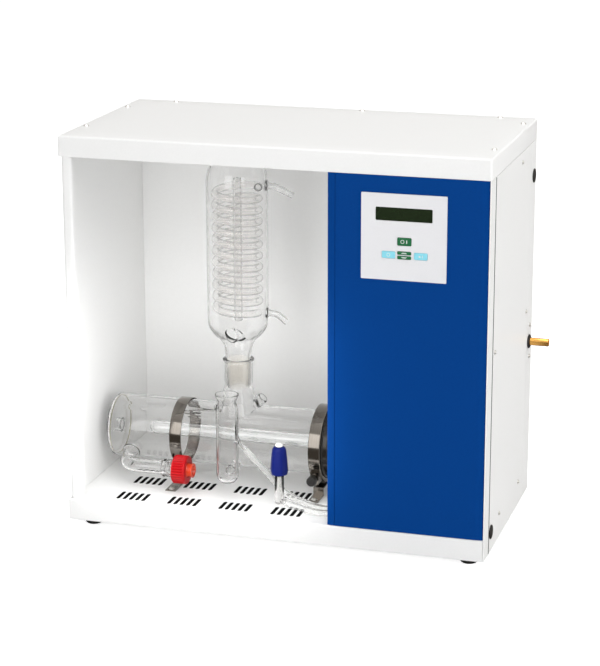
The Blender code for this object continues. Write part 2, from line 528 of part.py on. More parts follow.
for label, z, end in (("upper", 391.5 * mm, ARM_END_UP), ("lower", 239 * mm, ARM_END_LOW)):
    route = smooth_route([(CONDENSER_X + 34.5 * mm, BOILER_Y, z), (CONDENSER_X + 41 * mm, BOILER_Y, z),
                          (CONDENSER_X + 50 * mm, BOILER_Y, z - 1.8 * mm), end], 7)
    join(jacket, rod(label + "_collar", (CONDENSER_X + 34.8 * mm, BOILER_Y, z), X_AXIS, 3.5 * mm, 7 * mm),
         tube(label + "_arm", route, ARM_R, resolution=3))
    cut(jacket, tube(label + "_arm_bore", list(route[1:]) + [route[-1] * 2 - route[-2]], ARM_R - 1.3 * mm,
                     resolution=3))
PORT_WAY = Vector((-0.36, -0.93, 0)).normalized()
PORT_END = Vector((178 * mm, 80 * mm, 218.3 * mm))
join(jacket, rod("distillate_port", PORT_END - PORT_WAY * 22 * mm, PORT_WAY, 22 * mm, 9.3 * mm, sides=20))
cut(jacket, rod("distillate_bore", PORT_END - PORT_WAY * 24 * mm, PORT_WAY, 30 * mm, 7.2 * mm, sides=20))

COIL_R, COIL_TUBE_R, COIL_TURNS = 25.6 * mm, 4.6 * mm, 11
COIL_TOP, COIL_FOOT = 389 * mm, 239 * mm
POINTS_A_TURN = 12
coil_points = []
for k in range(COIL_TURNS * POINTS_A_TURN + 1):
    turn = 2 * pi * k / POINTS_A_TURN
    z = COIL_TOP + (COIL_FOOT - COIL_TOP) * k / (COIL_TURNS * POINTS_A_TURN)
    coil_points.append((CONDENSER_X + COIL_R * cos(turn), BOILER_Y + COIL_R * sin(turn), z))
tube("condenser_coil", coil_points, COIL_TUBE_R, CLEAR_GLASS, 2)
turned("condenser_riser", [(4.7 * mm, 170 * mm), (4.7 * mm, 0), (3.2 * mm, 0), (3.2 * mm, 170 * mm)],
       (CONDENSER_X + 0.6 * mm, BOILER_Y, 228 * mm), paint=CLEAR_GLASS, steps=12, ring=True)

# ---------------------------------------------------------------- strap, flange clamp and heater
STRAP_X, STRAP_W, STRAP_T = 99.8 * mm, 14.6 * mm, 1 * mm
STRAP_R = BOILER_R + 0.5 * mm
strap = turned("boiler_strap", [(STRAP_R + STRAP_T, STRAP_W), (STRAP_R + STRAP_T, 0), (STRAP_R, 0),
                                (STRAP_R, STRAP_W)],
               (STRAP_X, BOILER_Y, BOILER_Z), X_AXIS, STEEL, 40, True)
STRAP_MID = STRAP_X + STRAP_W / 2
FOOT_PLATE_Y = 56 * mm
strap_post_top = BOILER_Z - STRAP_R - 0.6 * mm
STRAP_FOOT_X = (STRAP_X + 1 * mm, STRAP_X + STRAP_W - 1 * mm)
join(strap, box("strap_post", (STRAP_FOOT_X[0], BOILER_Y - 1 * mm, FLOOR),
                (STRAP_FOOT_X[1], BOILER_Y, strap_post_top)),
     box("strap_toe", (STRAP_FOOT_X[0], FOOT_PLATE_Y, FLOOR), (STRAP_FOOT_X[1], BOILER_Y, FLOOR + STRAP_T)))

CLAMP_X0, CLAMP_X1, CLAMP_R = 273.9 * mm, 288.2 * mm, 46 * mm
CLAMP_MID = (CLAMP_X0 + CLAMP_X1) / 2
span = CLAMP_X1 - CLAMP_X0
LIP_R = 40.6 * mm
clamp = turned("flange_clamp", [(CLAMP_R, span), (CLAMP_R, 0), (LIP_R, 0), (LIP_R, 1.2 * mm),
                                (CLAMP_R - 1.6 * mm, 1.2 * mm + 2.5 * mm), (CLAMP_R - 1.6 * mm, span - 2.5 * mm),
                                (FLANGE_R - 1.5 * mm, span - 1.2 * mm), (FLANGE_R - 1.5 * mm, span)],
               (CLAMP_X0, BOILER_Y, BOILER_Z), X_AXIS, STEEL, 40, True)
CLAMP_SCREW_Z = 54.2 * mm
LUG_FRONT = 73 * mm
join(clamp, box("clamp_lug", (CLAMP_X0 + 2 * mm, LUG_FRONT, 47 * mm), (CLAMP_X1 - 2 * mm, 88 * mm, 61 * mm)))
cut(clamp, rod("lug_bore", (CLAMP_MID, LUG_FRONT - 5 * mm, CLAMP_SCREW_Z), Y_AXIS, 15 * mm, 2.8 * mm, sides=12),
    rod("clamp_channel", (CLAMP_X0 + 1.3 * mm, BOILER_Y, BOILER_Z), X_AXIS, 12.5 * mm, FLANGE_R + 0.4 * mm,
        sides=40))
turned("clamp_screw", [(0, 16 * mm), (3.8 * mm, 15.6 * mm), (5.9 * mm, 13.8 * mm), (5.9 * mm, 7 * mm),
                       (3.5 * mm, 6 * mm), (3.5 * mm, 1.9 * mm), (2.4 * mm, 1.9 * mm), (2.4 * mm, -8.5 * mm),
                       (0, -8.5 * mm)],
       (CLAMP_MID, LUG_FRONT, CLAMP_SCREW_Z), -Y_AXIS, BLACK_PLASTIC, 20)
turned("clamp_washer", [(5 * mm, 1.6 * mm), (5 * mm, 0.4 * mm), (2.8 * mm, 0.4 * mm), (2.8 * mm, 1.6 * mm)],
       (CLAMP_MID, LUG_FRONT, CLAMP_SCREW_Z), -Y_AXIS, STEEL, 20, True)
CLAMP_FOOT_TOP = BOILER_Z - CLAMP_R - 0.6 * mm
CLAMP_FOOT_X = (CLAMP_X0 + 1 * mm, CLAMP_X1 - 1 * mm)
CLAMP_FOOT_Y = (66 * mm, 90 * mm, 91.5 * mm, 124 * mm)   # toe, upright's two faces, rest
clamp_foot = box("clamp_foot", (CLAMP_FOOT_X[0], CLAMP_FOOT_Y[1], FLOOR),
                 (CLAMP_FOOT_X[1], CLAMP_FOOT_Y[2], CLAMP_FOOT_TOP - 2 * mm), STEEL)
join(clamp_foot, box("clamp_toe", (CLAMP_FOOT_X[0], CLAMP_FOOT_Y[0], FLOOR),
                     (CLAMP_FOOT_X[1], CLAMP_FOOT_Y[2], FLOOR + 1.5 * mm)),
     box("clamp_rest", (CLAMP_FOOT_X[0], CLAMP_FOOT_Y[1], CLAMP_FOOT_TOP - 3 * mm),
         (CLAMP_FOOT_X[1], CLAMP_FOOT_Y[3], CLAMP_FOOT_TOP - 1.5 * mm)))

for label, holder, x, y, holder_t in (("left", strap, STRAP_MID, 62 * mm, STRAP_T),
                                      ("right", clamp_foot, CLAMP_MID, 72 * mm, 1.5 * mm)):
    for sheet, z in ((holder, FLOOR - 2 * mm), (tray, BASE_H - 4 * mm)):
        cut(sheet, rod(f"floor_hole_{label}_{sheet.name}", (x, y, z), Z_AXIS, 6 * mm, SCREW_R, sides=8))
    button_screw("floor_screw_" + label, (x, y, FLOOR + holder_t), -Z_AXIS)

GASKET_T, PLATE_T = 1.6 * mm, 2.4 * mm
GASKET_X = BOILER_RIGHT + GAP
PLATE_X = GASKET_X + GASKET_T + GAP
turned("flange_gasket", [(FLANGE_R - 2.2 * mm, GASKET_T), (FLANGE_R - 2.2 * mm, 0), (34 * mm, 0),
                         (34 * mm, GASKET_T)],
       (GASKET_X, BOILER_Y, BOILER_Z), X_AXIS, BLACK_RUBBER, 32, True)
turned("heater_flange", [(0, 40 * mm), (HEATER_NECK_R, 40 * mm), (HEATER_NECK_R, 11 * mm), (39.5 * mm, 8.5 * mm),
                         (39.5 * mm, PLATE_T), (FLANGE_R - 2.2 * mm, PLATE_T - 0.4 * mm),
                         (FLANGE_R - 2.2 * mm, 0), (9 * mm, 0), (9 * mm, 6 * mm), (0, 6 * mm)],
       (PLATE_X, BOILER_Y, BOILER_Z), X_AXIS, BLACK_RUBBER, 32)
HEATER_X = 62 * mm
HEATER_R = 8 * mm
heater_len = PLATE_X + 5 * mm - HEATER_X
turned("heater_sheath", [(0, heater_len), (HEATER_R, heater_len), (HEATER_R, 6 * mm), (5.6 * mm, 1.6 * mm),
                         (0, 0)],
       (HEATER_X, BOILER_Y, BOILER_Z), X_AXIS, CLEAR_GLASS, 16)
turned("heater_cap", [(19 * mm, 16 * mm), (20 * mm, 15 * mm), (20 * mm, 0), (6 * mm, 0), (6 * mm, 16 * mm)],
       (PLATE_X + 40 * mm + GAP, BOILER_Y, BOILER_Z), X_AXIS, WHITE_PLASTIC, 20, True)

# ---------------------------------------------------------------- stopcock
COCK_X, COCK_Y = 244.5 * mm, SERVICE_Y + 2 * mm
BARREL_FOOT = 27 * mm
ELBOW_WAY = Vector((0.84, -0.54, 0)).normalized()
elbow = Vector((COCK_X, COCK_Y, HOSE_Z))
barrel = turned("stopcock_barrel", [(0, 2.2 * mm), (3.9 * mm, 2.2 * mm), (3.9 * mm, 55 * mm), (5.5 * mm, 55 * mm),
                                    (5.5 * mm, 1.5 * mm), (4.5 * mm, 0), (0, 0)],
                (COCK_X, COCK_Y, BARREL_FOOT), paint=CLEAR_GLASS, steps=20)
join(barrel, rod("elbow_spigot", elbow + ELBOW_WAY * 4.4 * mm, ELBOW_WAY, 5 * mm, 2.8 * mm, sides=12))
cut(barrel, rod("elbow_bore", elbow, ELBOW_WAY, 14 * mm, 1.6 * mm, sides=12))
KNOB_FOOT = 62.9 * mm
knob_outer = [(3.2, 34.2), (6.4, 33.6), (8.2, 30), (9.4, 20), (10.6, 4), (9.2, 0)]
knob_inner = [(6.1, 0), (6.1, 21), (3.2, 22)]
turned("stopcock_knob", [(r * mm, h * mm) for r, h in knob_outer + knob_inner], (COCK_X, COCK_Y, KNOB_FOOT),
       paint=BLUE_PLASTIC, steps=10, ring=True)
turned("stopcock_spindle", [(0, 38.2 * mm), (3.4 * mm, 37.8 * mm), (4.4 * mm, 36 * mm), (4.4 * mm, 34.5 * mm),
                            (2.7 * mm, 34.5 * mm), (2.7 * mm, -12 * mm), (0, -18 * mm)],
       (COCK_X, COCK_Y, KNOB_FOOT), paint=WHITE_PLASTIC, steps=16)
turned("stopcock_o_ring", [(3.6 * mm, 1.2 * mm), (3.6 * mm, 0), (3 * mm, 0), (3 * mm, 1.2 * mm)],
       (COCK_X, COCK_Y, BARREL_FOOT + 33 * mm), paint=BLACK_RUBBER, steps=16, ring=True)

# ---------------------------------------------------------------- hoses to the dry bay
FEED_ROUTE = [tuple(elbow + ELBOW_WAY * 9.7 * mm), tuple(elbow + ELBOW_WAY * 16 * mm),
              (270 * mm, 37 * mm, HOSE_Z), (285 * mm, 29 * mm, HOSE_Z), (300 * mm, 23.8 * mm, HOSE_Z + 0.5 * mm),
              (PARTITION_X, 21.5 * mm, HOSE_Z + 1.5 * mm), FEED_EXIT]
hose_mouth = SPIGOT_START + SPIGOT_WAY * 14.4 * mm
OVERFLOW_ROUTE = [tuple(hose_mouth), (213 * mm, 52.6 * mm, 78.5 * mm), (224 * mm, 57 * mm, 65.5 * mm),
                  (234 * mm, 61.5 * mm, 51 * mm), (245 * mm, 64 * mm, 38.5 * mm), (258 * mm, 62 * mm, 32 * mm),
                  (272 * mm, 55 * mm, HOSE_Z + 0.1 * mm), (286 * mm, 46 * mm, HOSE_Z),
                  (301 * mm, 38.5 * mm, HOSE_Z + 0.5 * mm), (PARTITION_X, 36 * mm, HOSE_Z + 1.5 * mm),
                  OVERFLOW_EXIT]
tube("feed_hose", smooth_route(FEED_ROUTE, 14), HOSE_R - GAP, CLEAR_HOSE, 2)
tube("overflow_hose", smooth_route(OVERFLOW_ROUTE, 20), HOSE_R - GAP, CLEAR_HOSE, 2)

# ---------------------------------------------------------------- brass outlet, valve and electrics
TUBE_R = 4.7 * mm
tube_len = 66 * mm
turned("brass_outlet", [(TUBE_R, tube_len), (TUBE_R, 0), (3.4 * mm, 0), (3.4 * mm, tube_len)],
       (CABINET_W + OUTLET_REACH - tube_len, OUTLET_Y, OUTLET_Z), X_AXIS, BRASS, 20, True)
turned("outlet_grommet", [(6.4 * mm, 5.5 * mm), (8.4 * mm, 4.2 * mm), (8.4 * mm, 3.3 * mm), (6.7 * mm, 3.3 * mm),
                          (6.7 * mm, 0.9 * mm), (8.4 * mm, 0.9 * mm), (8.4 * mm, 0), (5 * mm, 0),
                          (5 * mm, 5.5 * mm)],
       (SKIN_X - 1.2 * mm, OUTLET_Y, OUTLET_Z), X_AXIS, BLACK_RUBBER, 20, True)
VALVE_X = CABINET_W + OUTLET_REACH - tube_len - GAP
box("solenoid_valve", (VALVE_X - 34 * mm, OUTLET_Y - 11 * mm, OUTLET_Z - 9 * mm),
    (VALVE_X, OUTLET_Y + 11 * mm, OUTLET_Z + 9 * mm), BRASS, 1.5 * mm)
box("valve_coil", (VALVE_X - 29 * mm, OUTLET_Y - 13 * mm, OUTLET_Z + 9.5 * mm),
    (VALVE_X - 3 * mm, OUTLET_Y + 13 * mm, OUTLET_Z + 38 * mm), BLACK_PLASTIC, 2 * mm)
box("power_relay", (PARTITION_X + SHEET + GAP, 150 * mm, 190 * mm), (PARTITION_X + 34 * mm, 190 * mm, 236 * mm),
    BLACK_PLASTIC, 1.5 * mm)
box("terminal_block", (PARTITION_X + SHEET + GAP, 200 * mm, 110 * mm),
    (PARTITION_X + 20 * mm, 222 * mm, 170 * mm),
    WHITE_PLASTIC, 1 * mm)
supply = box("power_supply", (400 * mm, 100 * mm, FLOOR), (460 * mm, 150 * mm, FLOOR + 42 * mm), STEEL, 1.5 * mm)
join(supply, box("supply_feet", (392 * mm, 102 * mm, FLOOR), (468 * mm, 148 * mm, FLOOR + 2 * mm)))
turned("mains_gland", [(6.5 * mm, 13.5 * mm), (7.6 * mm, 12.5 * mm), (9 * mm, 6 * mm), (11 * mm, 5 * mm),
                       (11 * mm, 1 * mm), (GLAND_R, 1 * mm), (GLAND_R, -13 * mm), (4.5 * mm, -13 * mm),
                       (4.5 * mm, 13.5 * mm)],
       (GLAND_X, CABINET_D + GLAND_REACH - 13.5 * mm, GLAND_Z), Y_AXIS, BLACK_PLASTIC, 12, True)
turned("gland_nut", [(11 * mm, 4 * mm), (11 * mm, 0), (GLAND_R + GAP, 0), (GLAND_R + GAP, 4 * mm)],
       (GLAND_X, BACK_Y - SHEET - GAP - 4 * mm, GLAND_Z), Y_AXIS, BLACK_PLASTIC, 12, True)

for thing in PARTS.objects:
    if len(thing.data.polygons) > 40:
        thing.data.shade_smooth()
        thing.data.set_sharp_from_angle(angle=radians(35))
bpy.context.view_layer.update()
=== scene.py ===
from math import cos, pi, radians, sin, sqrt

import bmesh
import bpy
from mathutils import Matrix, Vector
import numpy as np


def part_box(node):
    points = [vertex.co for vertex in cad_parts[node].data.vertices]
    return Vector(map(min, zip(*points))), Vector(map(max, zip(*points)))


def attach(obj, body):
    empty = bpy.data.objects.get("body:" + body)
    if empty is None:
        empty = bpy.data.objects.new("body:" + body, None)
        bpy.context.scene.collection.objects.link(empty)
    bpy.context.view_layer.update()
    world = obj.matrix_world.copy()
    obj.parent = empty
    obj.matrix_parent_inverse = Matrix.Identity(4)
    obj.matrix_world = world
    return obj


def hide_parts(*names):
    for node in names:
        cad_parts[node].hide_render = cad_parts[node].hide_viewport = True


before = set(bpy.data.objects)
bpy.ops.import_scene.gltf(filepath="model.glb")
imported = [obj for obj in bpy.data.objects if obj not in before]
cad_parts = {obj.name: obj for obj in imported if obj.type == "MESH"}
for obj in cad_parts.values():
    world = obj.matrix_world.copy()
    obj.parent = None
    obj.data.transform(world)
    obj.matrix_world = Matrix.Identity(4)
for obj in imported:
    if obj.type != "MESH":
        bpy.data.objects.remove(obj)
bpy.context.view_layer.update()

# ------------------------------------------------------------------ camera, floor and studio light
# The still stands on a pale table top in front of a white wall.  The camera looks down on it from the front
# right.  Softboxes light it from the front left, the front right, above and the right side, and a small
# fill lights the open bay.
CAMERA_PLACE = Vector((0.6974, -2.39285, 0.9232))
CAMERA_AZIMUTH, CAMERA_ELEVATION, CAMERA_ROLL = radians(16.628), radians(15.694), radians(-0.12)
CAMERA_LENS = 118.42
FLOOR_HALF = 9.0

backward = Vector((sin(CAMERA_AZIMUTH) * cos(CAMERA_ELEVATION),
                   -cos(CAMERA_AZIMUTH) * cos(CAMERA_ELEVATION), sin(CAMERA_ELEVATION)))
rightward = Vector((cos(CAMERA_AZIMUTH), sin(CAMERA_AZIMUTH), 0))
looking = Matrix((rightward, backward.cross(rightward), backward)).transposed()
camera = bpy.data.objects.new("camera", bpy.data.cameras.new("camera"))
camera.data.lens = CAMERA_LENS
camera.data.sensor_width = 36
camera.data.clip_end = 60
camera.matrix_world = (Matrix.Translation(CAMERA_PLACE) @ looking.to_4x4()
                       @ Matrix.Rotation(CAMERA_ROLL, 4, "Z"))
bpy.context.scene.collection.objects.link(camera)
bpy.context.scene.camera = camera
bpy.context.scene.view_settings.view_transform = "Standard"


def linear(hex_colour):
    """An sRGB hex colour as linear red, green, blue and alpha: the sRGB curve undone on each channel."""
    shown = np.array([int(hex_colour[k:k + 2], 16) for k in (1, 3, 5)]) / 255
    undone = np.where(shown <= 0.04045, shown / 12.92, ((shown + 0.055) / 1.055) ** 2.4)
    return (*undone.tolist(), 1.0)


def add_node(tree, kind, settings=None, inputs=None):
    """Add a shader node with its properties, and with its sockets' values or the outputs they link to."""
    made = tree.nodes.new(kind)
    for key, value in (settings or {}).items():
        setattr(made, key, value)
    for key, value in (inputs or {}).items():
        if isinstance(value, bpy.types.NodeSocket):
            tree.links.new(value, made.inputs[key])
        else:
            made.inputs[key].default_value = value
    return made


def softbox(name, place, target, width, height, watts, mirrored=True):
    """A rectangular light at place, turned to face target.  The camera never sees it, and glass and metal
    only when it is mirrored."""
    light = bpy.data.lights.new(name, "AREA")
    light.shape = "RECTANGLE"
    light.size, light.size_y, light.energy = width, height, watts
    lamp = bpy.data.objects.new(name, light)
    lamp.location = place
    lamp.rotation_euler = (Vector(target) - Vector(place)).to_track_quat("-Z", "Y").to_euler()
    lamp.visible_camera = False
    lamp.visible_glossy = lamp.visible_transmission = mirrored
    bpy.context.scene.collection.objects.link(lamp)


softbox("front_softbox", (-0.75, -2.45, 1.0), (0, 0, 0.25), 1.3, 1.9, 17)
softbox("side_softbox", (1.9, -2.3, 1.15), (0, 0, 0.25), 0.5, 1.1, 6)
softbox("high_softbox", (1.3, -2.4, 2.4), (0, 0, 0.2), 1.5, 1.2, 17)
softbox("top_softbox", (0.2, 0.2, 2.8), (0, 0, 0.4), 2.4, 2.2, 44)
softbox("right_softbox", (2.9, -0.2, 0.9), (0.26, 0, 0.25), 1.2, 1.4, 30)
softbox("bay_fill", (-0.105, -0.17, 0.17), (-0.105, 0.3, 0.17), 0.28, 0.22, 0.5, False)

# The studio beyond the softboxes: white where the camera looks, soft grey as light, and for reflections a
# dim warm grey above the horizon over a pale table.
HORIZON = ((0, "#C9C4BC"), (0.34, "#BDB6AC"), (0.44, "#746E66"), (0.66, "#8D857A"), (1, "#FFFFFF"))
world = bpy.data.worlds.new("studio")
world.use_nodes = True
bpy.context.scene.world = world
sky = world.node_tree
sky.nodes.clear()
direction = add_node(sky, "ShaderNodeTexCoord").outputs["Generated"]
height = add_node(sky, "ShaderNodeSeparateXYZ", {}, {"Vector": direction}).outputs["Z"]
horizon = add_node(sky, "ShaderNodeValToRGB", {}, {"Fac": add_node(
    sky, "ShaderNodeMapRange", {}, {"Value": height, "From Min": -1.0, "From Max": 1.0}).outputs["Result"]})
for place, _ in HORIZON[1:-1]:
    horizon.color_ramp.elements.new(place)
for stop, (place, shade) in zip(horizon.color_ramp.elements, HORIZON):
    stop.position, stop.color = place, linear(shade)
paths = add_node(sky, "ShaderNodeLightPath")
reflected = add_node(sky, "ShaderNodeBackground", {}, {"Color": horizon.outputs["Color"], "Strength": 1.0})
ambient = add_node(sky, "ShaderNodeBackground", {}, {"Color": linear("#FFFFFF"), "Strength": 0.26})
seen = add_node(sky, "ShaderNodeBackground", {}, {"Color": linear("#FFFFFF"), "Strength": 1.0})
lighting = add_node(sky, "ShaderNodeMixShader", {}, {0: paths.outputs["Is Diffuse Ray"],
                                                     1: reflected.outputs[0], 2: ambient.outputs[0]})
refracted = add_node(sky, "ShaderNodeBackground", {}, {"Color": linear("#FBF9F6"), "Strength": 1.0})
through = add_node(sky, "ShaderNodeMixShader", {},
                   {0: paths.outputs["Is Transmission Ray"], 1: lighting.outputs[0],
                    2: refracted.outputs[0]})
studio = add_node(sky, "ShaderNodeMixShader", {}, {0: paths.outputs["Is Camera Ray"], 1: through.outputs[0],
                                                   2: seen.outputs[0]})
add_node(sky, "ShaderNodeOutputWorld", {}, {"Surface": studio.outputs[0]})

# Clear glass in several walls needs more bounces than the usual dozen before the light is followed out.
bpy.context.scene.cycles.max_bounces = 24
bpy.context.scene.cycles.transmission_bounces = 20
bpy.context.scene.cycles.sample_clamp_indirect = 4.0

floor_mesh = bpy.data.meshes.new("table_top")
floor_mesh.from_pydata([(-FLOOR_HALF, -FLOOR_HALF, 0), (FLOOR_HALF, -FLOOR_HALF, 0),
                        (FLOOR_HALF, FLOOR_HALF, 0), (-FLOOR_HALF, FLOOR_HALF, 0)], [], [(0, 1, 2, 3)])
table_top = bpy.data.objects.new("table_top", floor_mesh)
bpy.context.scene.collection.objects.link(table_top)
laminate = bpy.data.materials.new("white_laminate")
laminate.use_nodes = True
surface = laminate.node_tree
surface.nodes.clear()
table_ray = add_node(surface, "ShaderNodeLightPath")
pale = add_node(surface, "ShaderNodeBsdfDiffuse", {}, {"Color": linear("#F2F2F2")})
glow = add_node(surface, "ShaderNodeEmission", {}, {"Color": linear("#FFFFFF"), "Strength": 0.78})
seen_top = add_node(surface, "ShaderNodeAddShader", {}, {0: pale.outputs[0], 1: glow.outputs[0]})
dim = add_node(surface, "ShaderNodeEmission", {}, {"Color": linear("#6E6861"), "Strength": 1.0})
lit = add_node(surface, "ShaderNodeMixShader", {}, {0: table_ray.outputs["Is Camera Ray"], 1: pale.outputs[0],
                                                    2: seen_top.outputs[0]})
table = add_node(surface, "ShaderNodeMixShader", {},
                 {0: table_ray.outputs["Is Glossy Ray"], 1: lit.outputs[0], 2: dim.outputs[0]})
add_node(surface, "ShaderNodeOutputMaterial", {}, {"Surface": table.outputs[0]})
floor_mesh.materials.append(laminate)

# ------------------------------------------------------------------ silicone hoses
# Two clear soft hoses lie on the tray: the feed hose from the stopcock and the overflow hose from the level
# vessel.  Both are extruded tube, 8 mm outside and 5 mm inside, and pass through the partition.
MM = 0.001
CORNER = np.array([*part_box("top_cover")[0][:2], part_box("base_tray")[0].z])
FLOOR_Z = 26.3
HOSE_OUTER, HOSE_BORE = 4.0, 2.5
HOSE_Z = 30.6
COCK = np.array([244.5, 52.0])
ELBOW_WAY = np.array([0.84, -0.54, 0]) / sqrt(0.84**2 + 0.54**2)
ELBOW = np.array([*COCK, HOSE_Z])
SPIGOT_START = np.array([193.5, 50.0, 100.0])
SPIGOT_WAY = np.array([0.70, 0.08, -0.71]) / sqrt(0.70**2 + 0.08**2 + 0.71**2)
FEED_ROUTE = [ELBOW + ELBOW_WAY * 9.7, ELBOW + ELBOW_WAY * 16, (270, 37, HOSE_Z), (285, 29, HOSE_Z),
              (300, 23.8, HOSE_Z + 0.5), (316.5, 21.5, HOSE_Z + 1.5), (328.5, 21.5, HOSE_Z + 1.5)]
OVERFLOW_ROUTE = [SPIGOT_START + SPIGOT_WAY * 14.4, (213, 52.6, 78.5), (224, 57, 65.5), (234, 61.5, 51),
                  (245, 64, 38.5), (258, 62, 32), (272, 55, HOSE_Z + 0.1), (286, 46, HOSE_Z),
                  (301, 38.5, HOSE_Z + 0.5), (316.5, 36, HOSE_Z + 1.5), (328.5, 36, HOSE_Z + 1.5)]


def smooth(knots, count):
    """Points at even steps along a Catmull-Rom curve: each stretch is the cubic through its two knots
    whose end slopes are half the line between the knots either side."""
    knots = np.array([tuple(knot) for knot in knots], float)
    ends = np.vstack([2 * knots[0] - knots[1], knots, 2 * knots[-1] - knots[-2]])
    a, b, c, d = (ends[k:len(ends) - 3 + k, None] for k in range(4))
    t = np.linspace(0, 1, 24, endpoint=False)[None, :, None]
    fine = 0.5 * (2 * b + (c - a) * t + (2 * a - 5 * b + 4 * c - d) * t**2 + (3 * b - a - 3 * c + d) * t**3)
    fine = np.vstack([fine.reshape(-1, knots.shape[1]), knots[-1:]])
    run = np.append(0, np.cumsum(np.linalg.norm(np.diff(fine, axis=0), axis=1)))
    even = np.linspace(0, run[-1], count)
    return np.column_stack([np.interp(even, run, column) for column in fine.T])


def quads(rows, columns, ring=False):
    """The faces of a grid of points: each joins a point, its neighbour round the ring and the two in the next
    row.  Columns always close on themselves, and rows do when ring is set."""
    index = np.arange(rows * columns).reshape(rows, columns)
    index = np.hstack([index, index[:, :1]])
    if ring:
        index = np.vstack([index, index[:1]])
    return np.stack([index[:-1, :-1], index[:-1, 1:], index[1:, 1:], index[1:, :-1]], axis=-1).reshape(-1, 4)


def solid(points, ring=False, caps=False):
    """A closed mesh from a grid of points in cabinet millimetres.  Points that coincide, as at a pole, are
    merged, caps closes the first and last rows with flat faces, and the faces are turned outward."""
    points = np.asarray(points, float)
    rows, columns = points.shape[:2]
    faces = quads(rows, columns, ring).tolist()
    if caps:
        faces += [list(range(columns)), list(range((rows - 1) * columns, rows * columns))]
    mesh = bpy.data.meshes.new("solid")
    mesh.from_pydata((CORNER + points.reshape(-1, 3) * MM).tolist(), [], faces)
    shape = bmesh.new()
    shape.from_mesh(mesh)
    bmesh.ops.remove_doubles(shape, verts=shape.verts, dist=0.000002)
    bmesh.ops.recalc_face_normals(shape, faces=shape.faces)
    shape.to_mesh(mesh)
    shape.free()
    return mesh


def pipe(path, outer, inner, side, sides=32, lip=0.0):
    """A tube wall along a path.  Rings stand square to the path with their first spoke towards side.  The
    outer wall runs forward and the inner wall runs back, with a rounded lip of that length at each end."""
    path = np.asarray(path, float)
    outer, inner = (np.broadcast_to(np.asarray(r, float), len(path)) for r in (outer, inner))
    along = np.gradient(path, axis=0)
    along /= np.linalg.norm(along, axis=1)[:, None]
    side = np.broadcast_to(np.asarray(side, float), path.shape)
    spoke = side - (side * along).sum(axis=1)[:, None] * along
    spoke /= np.linalg.norm(spoke, axis=1)[:, None]
    centres = np.vstack([path, path[-1] + lip * along[-1], path[::-1], path[0] - lip * along[0]])
    order = np.concatenate([np.arange(len(path)), [len(path) - 1], np.arange(len(path))[::-1], [0]])
    radius = np.concatenate([outer, [(outer[-1] + inner[-1]) / 2], inner[::-1], [(outer[0] + inner[0]) / 2]])
    turn = np.linspace(0, 2 * pi, sides, endpoint=False)[None, :, None]
    ring = np.cos(turn) * spoke[order, None] + np.sin(turn) * np.cross(along, spoke)[order, None]
    return centres[:, None] + radius[:, None, None] * ring


CLEAR = ("clear_silicone", "borosilicate_glass", "clear_quartz", "limed_borosilicate_glass")


def show(name, mesh, material, nodes=(), sharp=40, body="cabinet"):
    """Put a finished mesh in the scene: smooth but for edges over sharp degrees, named as given, with its
    materials, standing for the CAD nodes it replaces, and riding on a body.  Clear pieces cast no shadow."""
    mesh.name = name
    mesh.materials.clear()
    for paint in (material if isinstance(material, (list, tuple)) else [material]):
        mesh.materials.append(paint)
    mesh.shade_smooth()
    mesh.set_sharp_from_angle(angle=radians(sharp))
    made = bpy.data.objects.new(name, mesh)
    made.visible_shadow = mesh.materials[0].name not in CLEAR
    bpy.context.scene.collection.objects.link(made)
    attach(made, body)
    if nodes:
        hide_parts(*([nodes] if isinstance(nodes, str) else nodes))
    return made


def finish(name, light, dark, grain, roughness, relief, stretch=(1, 1, 1), **fixed):
    """A surface that varies as real ones do: noise with spots of grain millimetres blends two colours and
    two roughness values, and stands relief millimetres high.  stretch squeezes it along an axis, and fixed
    sets the shader's own sockets."""
    made = bpy.data.materials.new(name)
    made.use_nodes = True
    tree = made.node_tree
    shader = tree.nodes["Principled BSDF"]
    where = add_node(tree, "ShaderNodeTexCoord").outputs["Object"]
    drawn = add_node(tree, "ShaderNodeMapping", {}, {"Vector": where, "Scale": stretch}).outputs["Vector"]
    spots = add_node(tree, "ShaderNodeTexNoise", {},
                     {"Vector": drawn, "Scale": 1 / (grain * MM), "Detail": 3.0})
    blend = add_node(tree, "ShaderNodeMix", {"data_type": "RGBA"},
                     {0: spots.outputs["Fac"], 6: linear(dark), 7: linear(light)})
    rough = add_node(tree, "ShaderNodeMapRange", {}, {"Value": spots.outputs["Fac"], "To Min": roughness[0],
                                                      "To Max": roughness[1]})
    bump = add_node(tree, "ShaderNodeBump", {}, {"Height": spots.outputs["Fac"], "Distance": relief * MM})
    tree.links.new(blend.outputs[2], shader.inputs["Base Color"])
    tree.links.new(rough.outputs["Result"], shader.inputs["Roughness"])
    tree.links.new(bump.outputs["Normal"], shader.inputs["Normal"])
    for key, value in fixed.items():
        shader.inputs[key.replace("_", " ")].default_value = value
    return made


# Clear extruded silicone: slightly milky, with a glossy skin.
silicone = finish("clear_silicone", "#FFFFFF", "#FAFBFA", 6.0, (0.03, 0.08), 0.02, Transmission_Weight=0.95,
                  IOR=1.41)
for hose_name, route, rings in (("feed_hose", FEED_ROUTE, 60), ("overflow_hose", OVERFLOW_ROUTE, 110)):
    line = smooth(route, rings)
    hose = show(hose_name + "_tube", solid(pipe(line, HOSE_OUTER, HOSE_BORE, (0, 0, 1), 28, 0.4), True),
                silicone, hose_name)

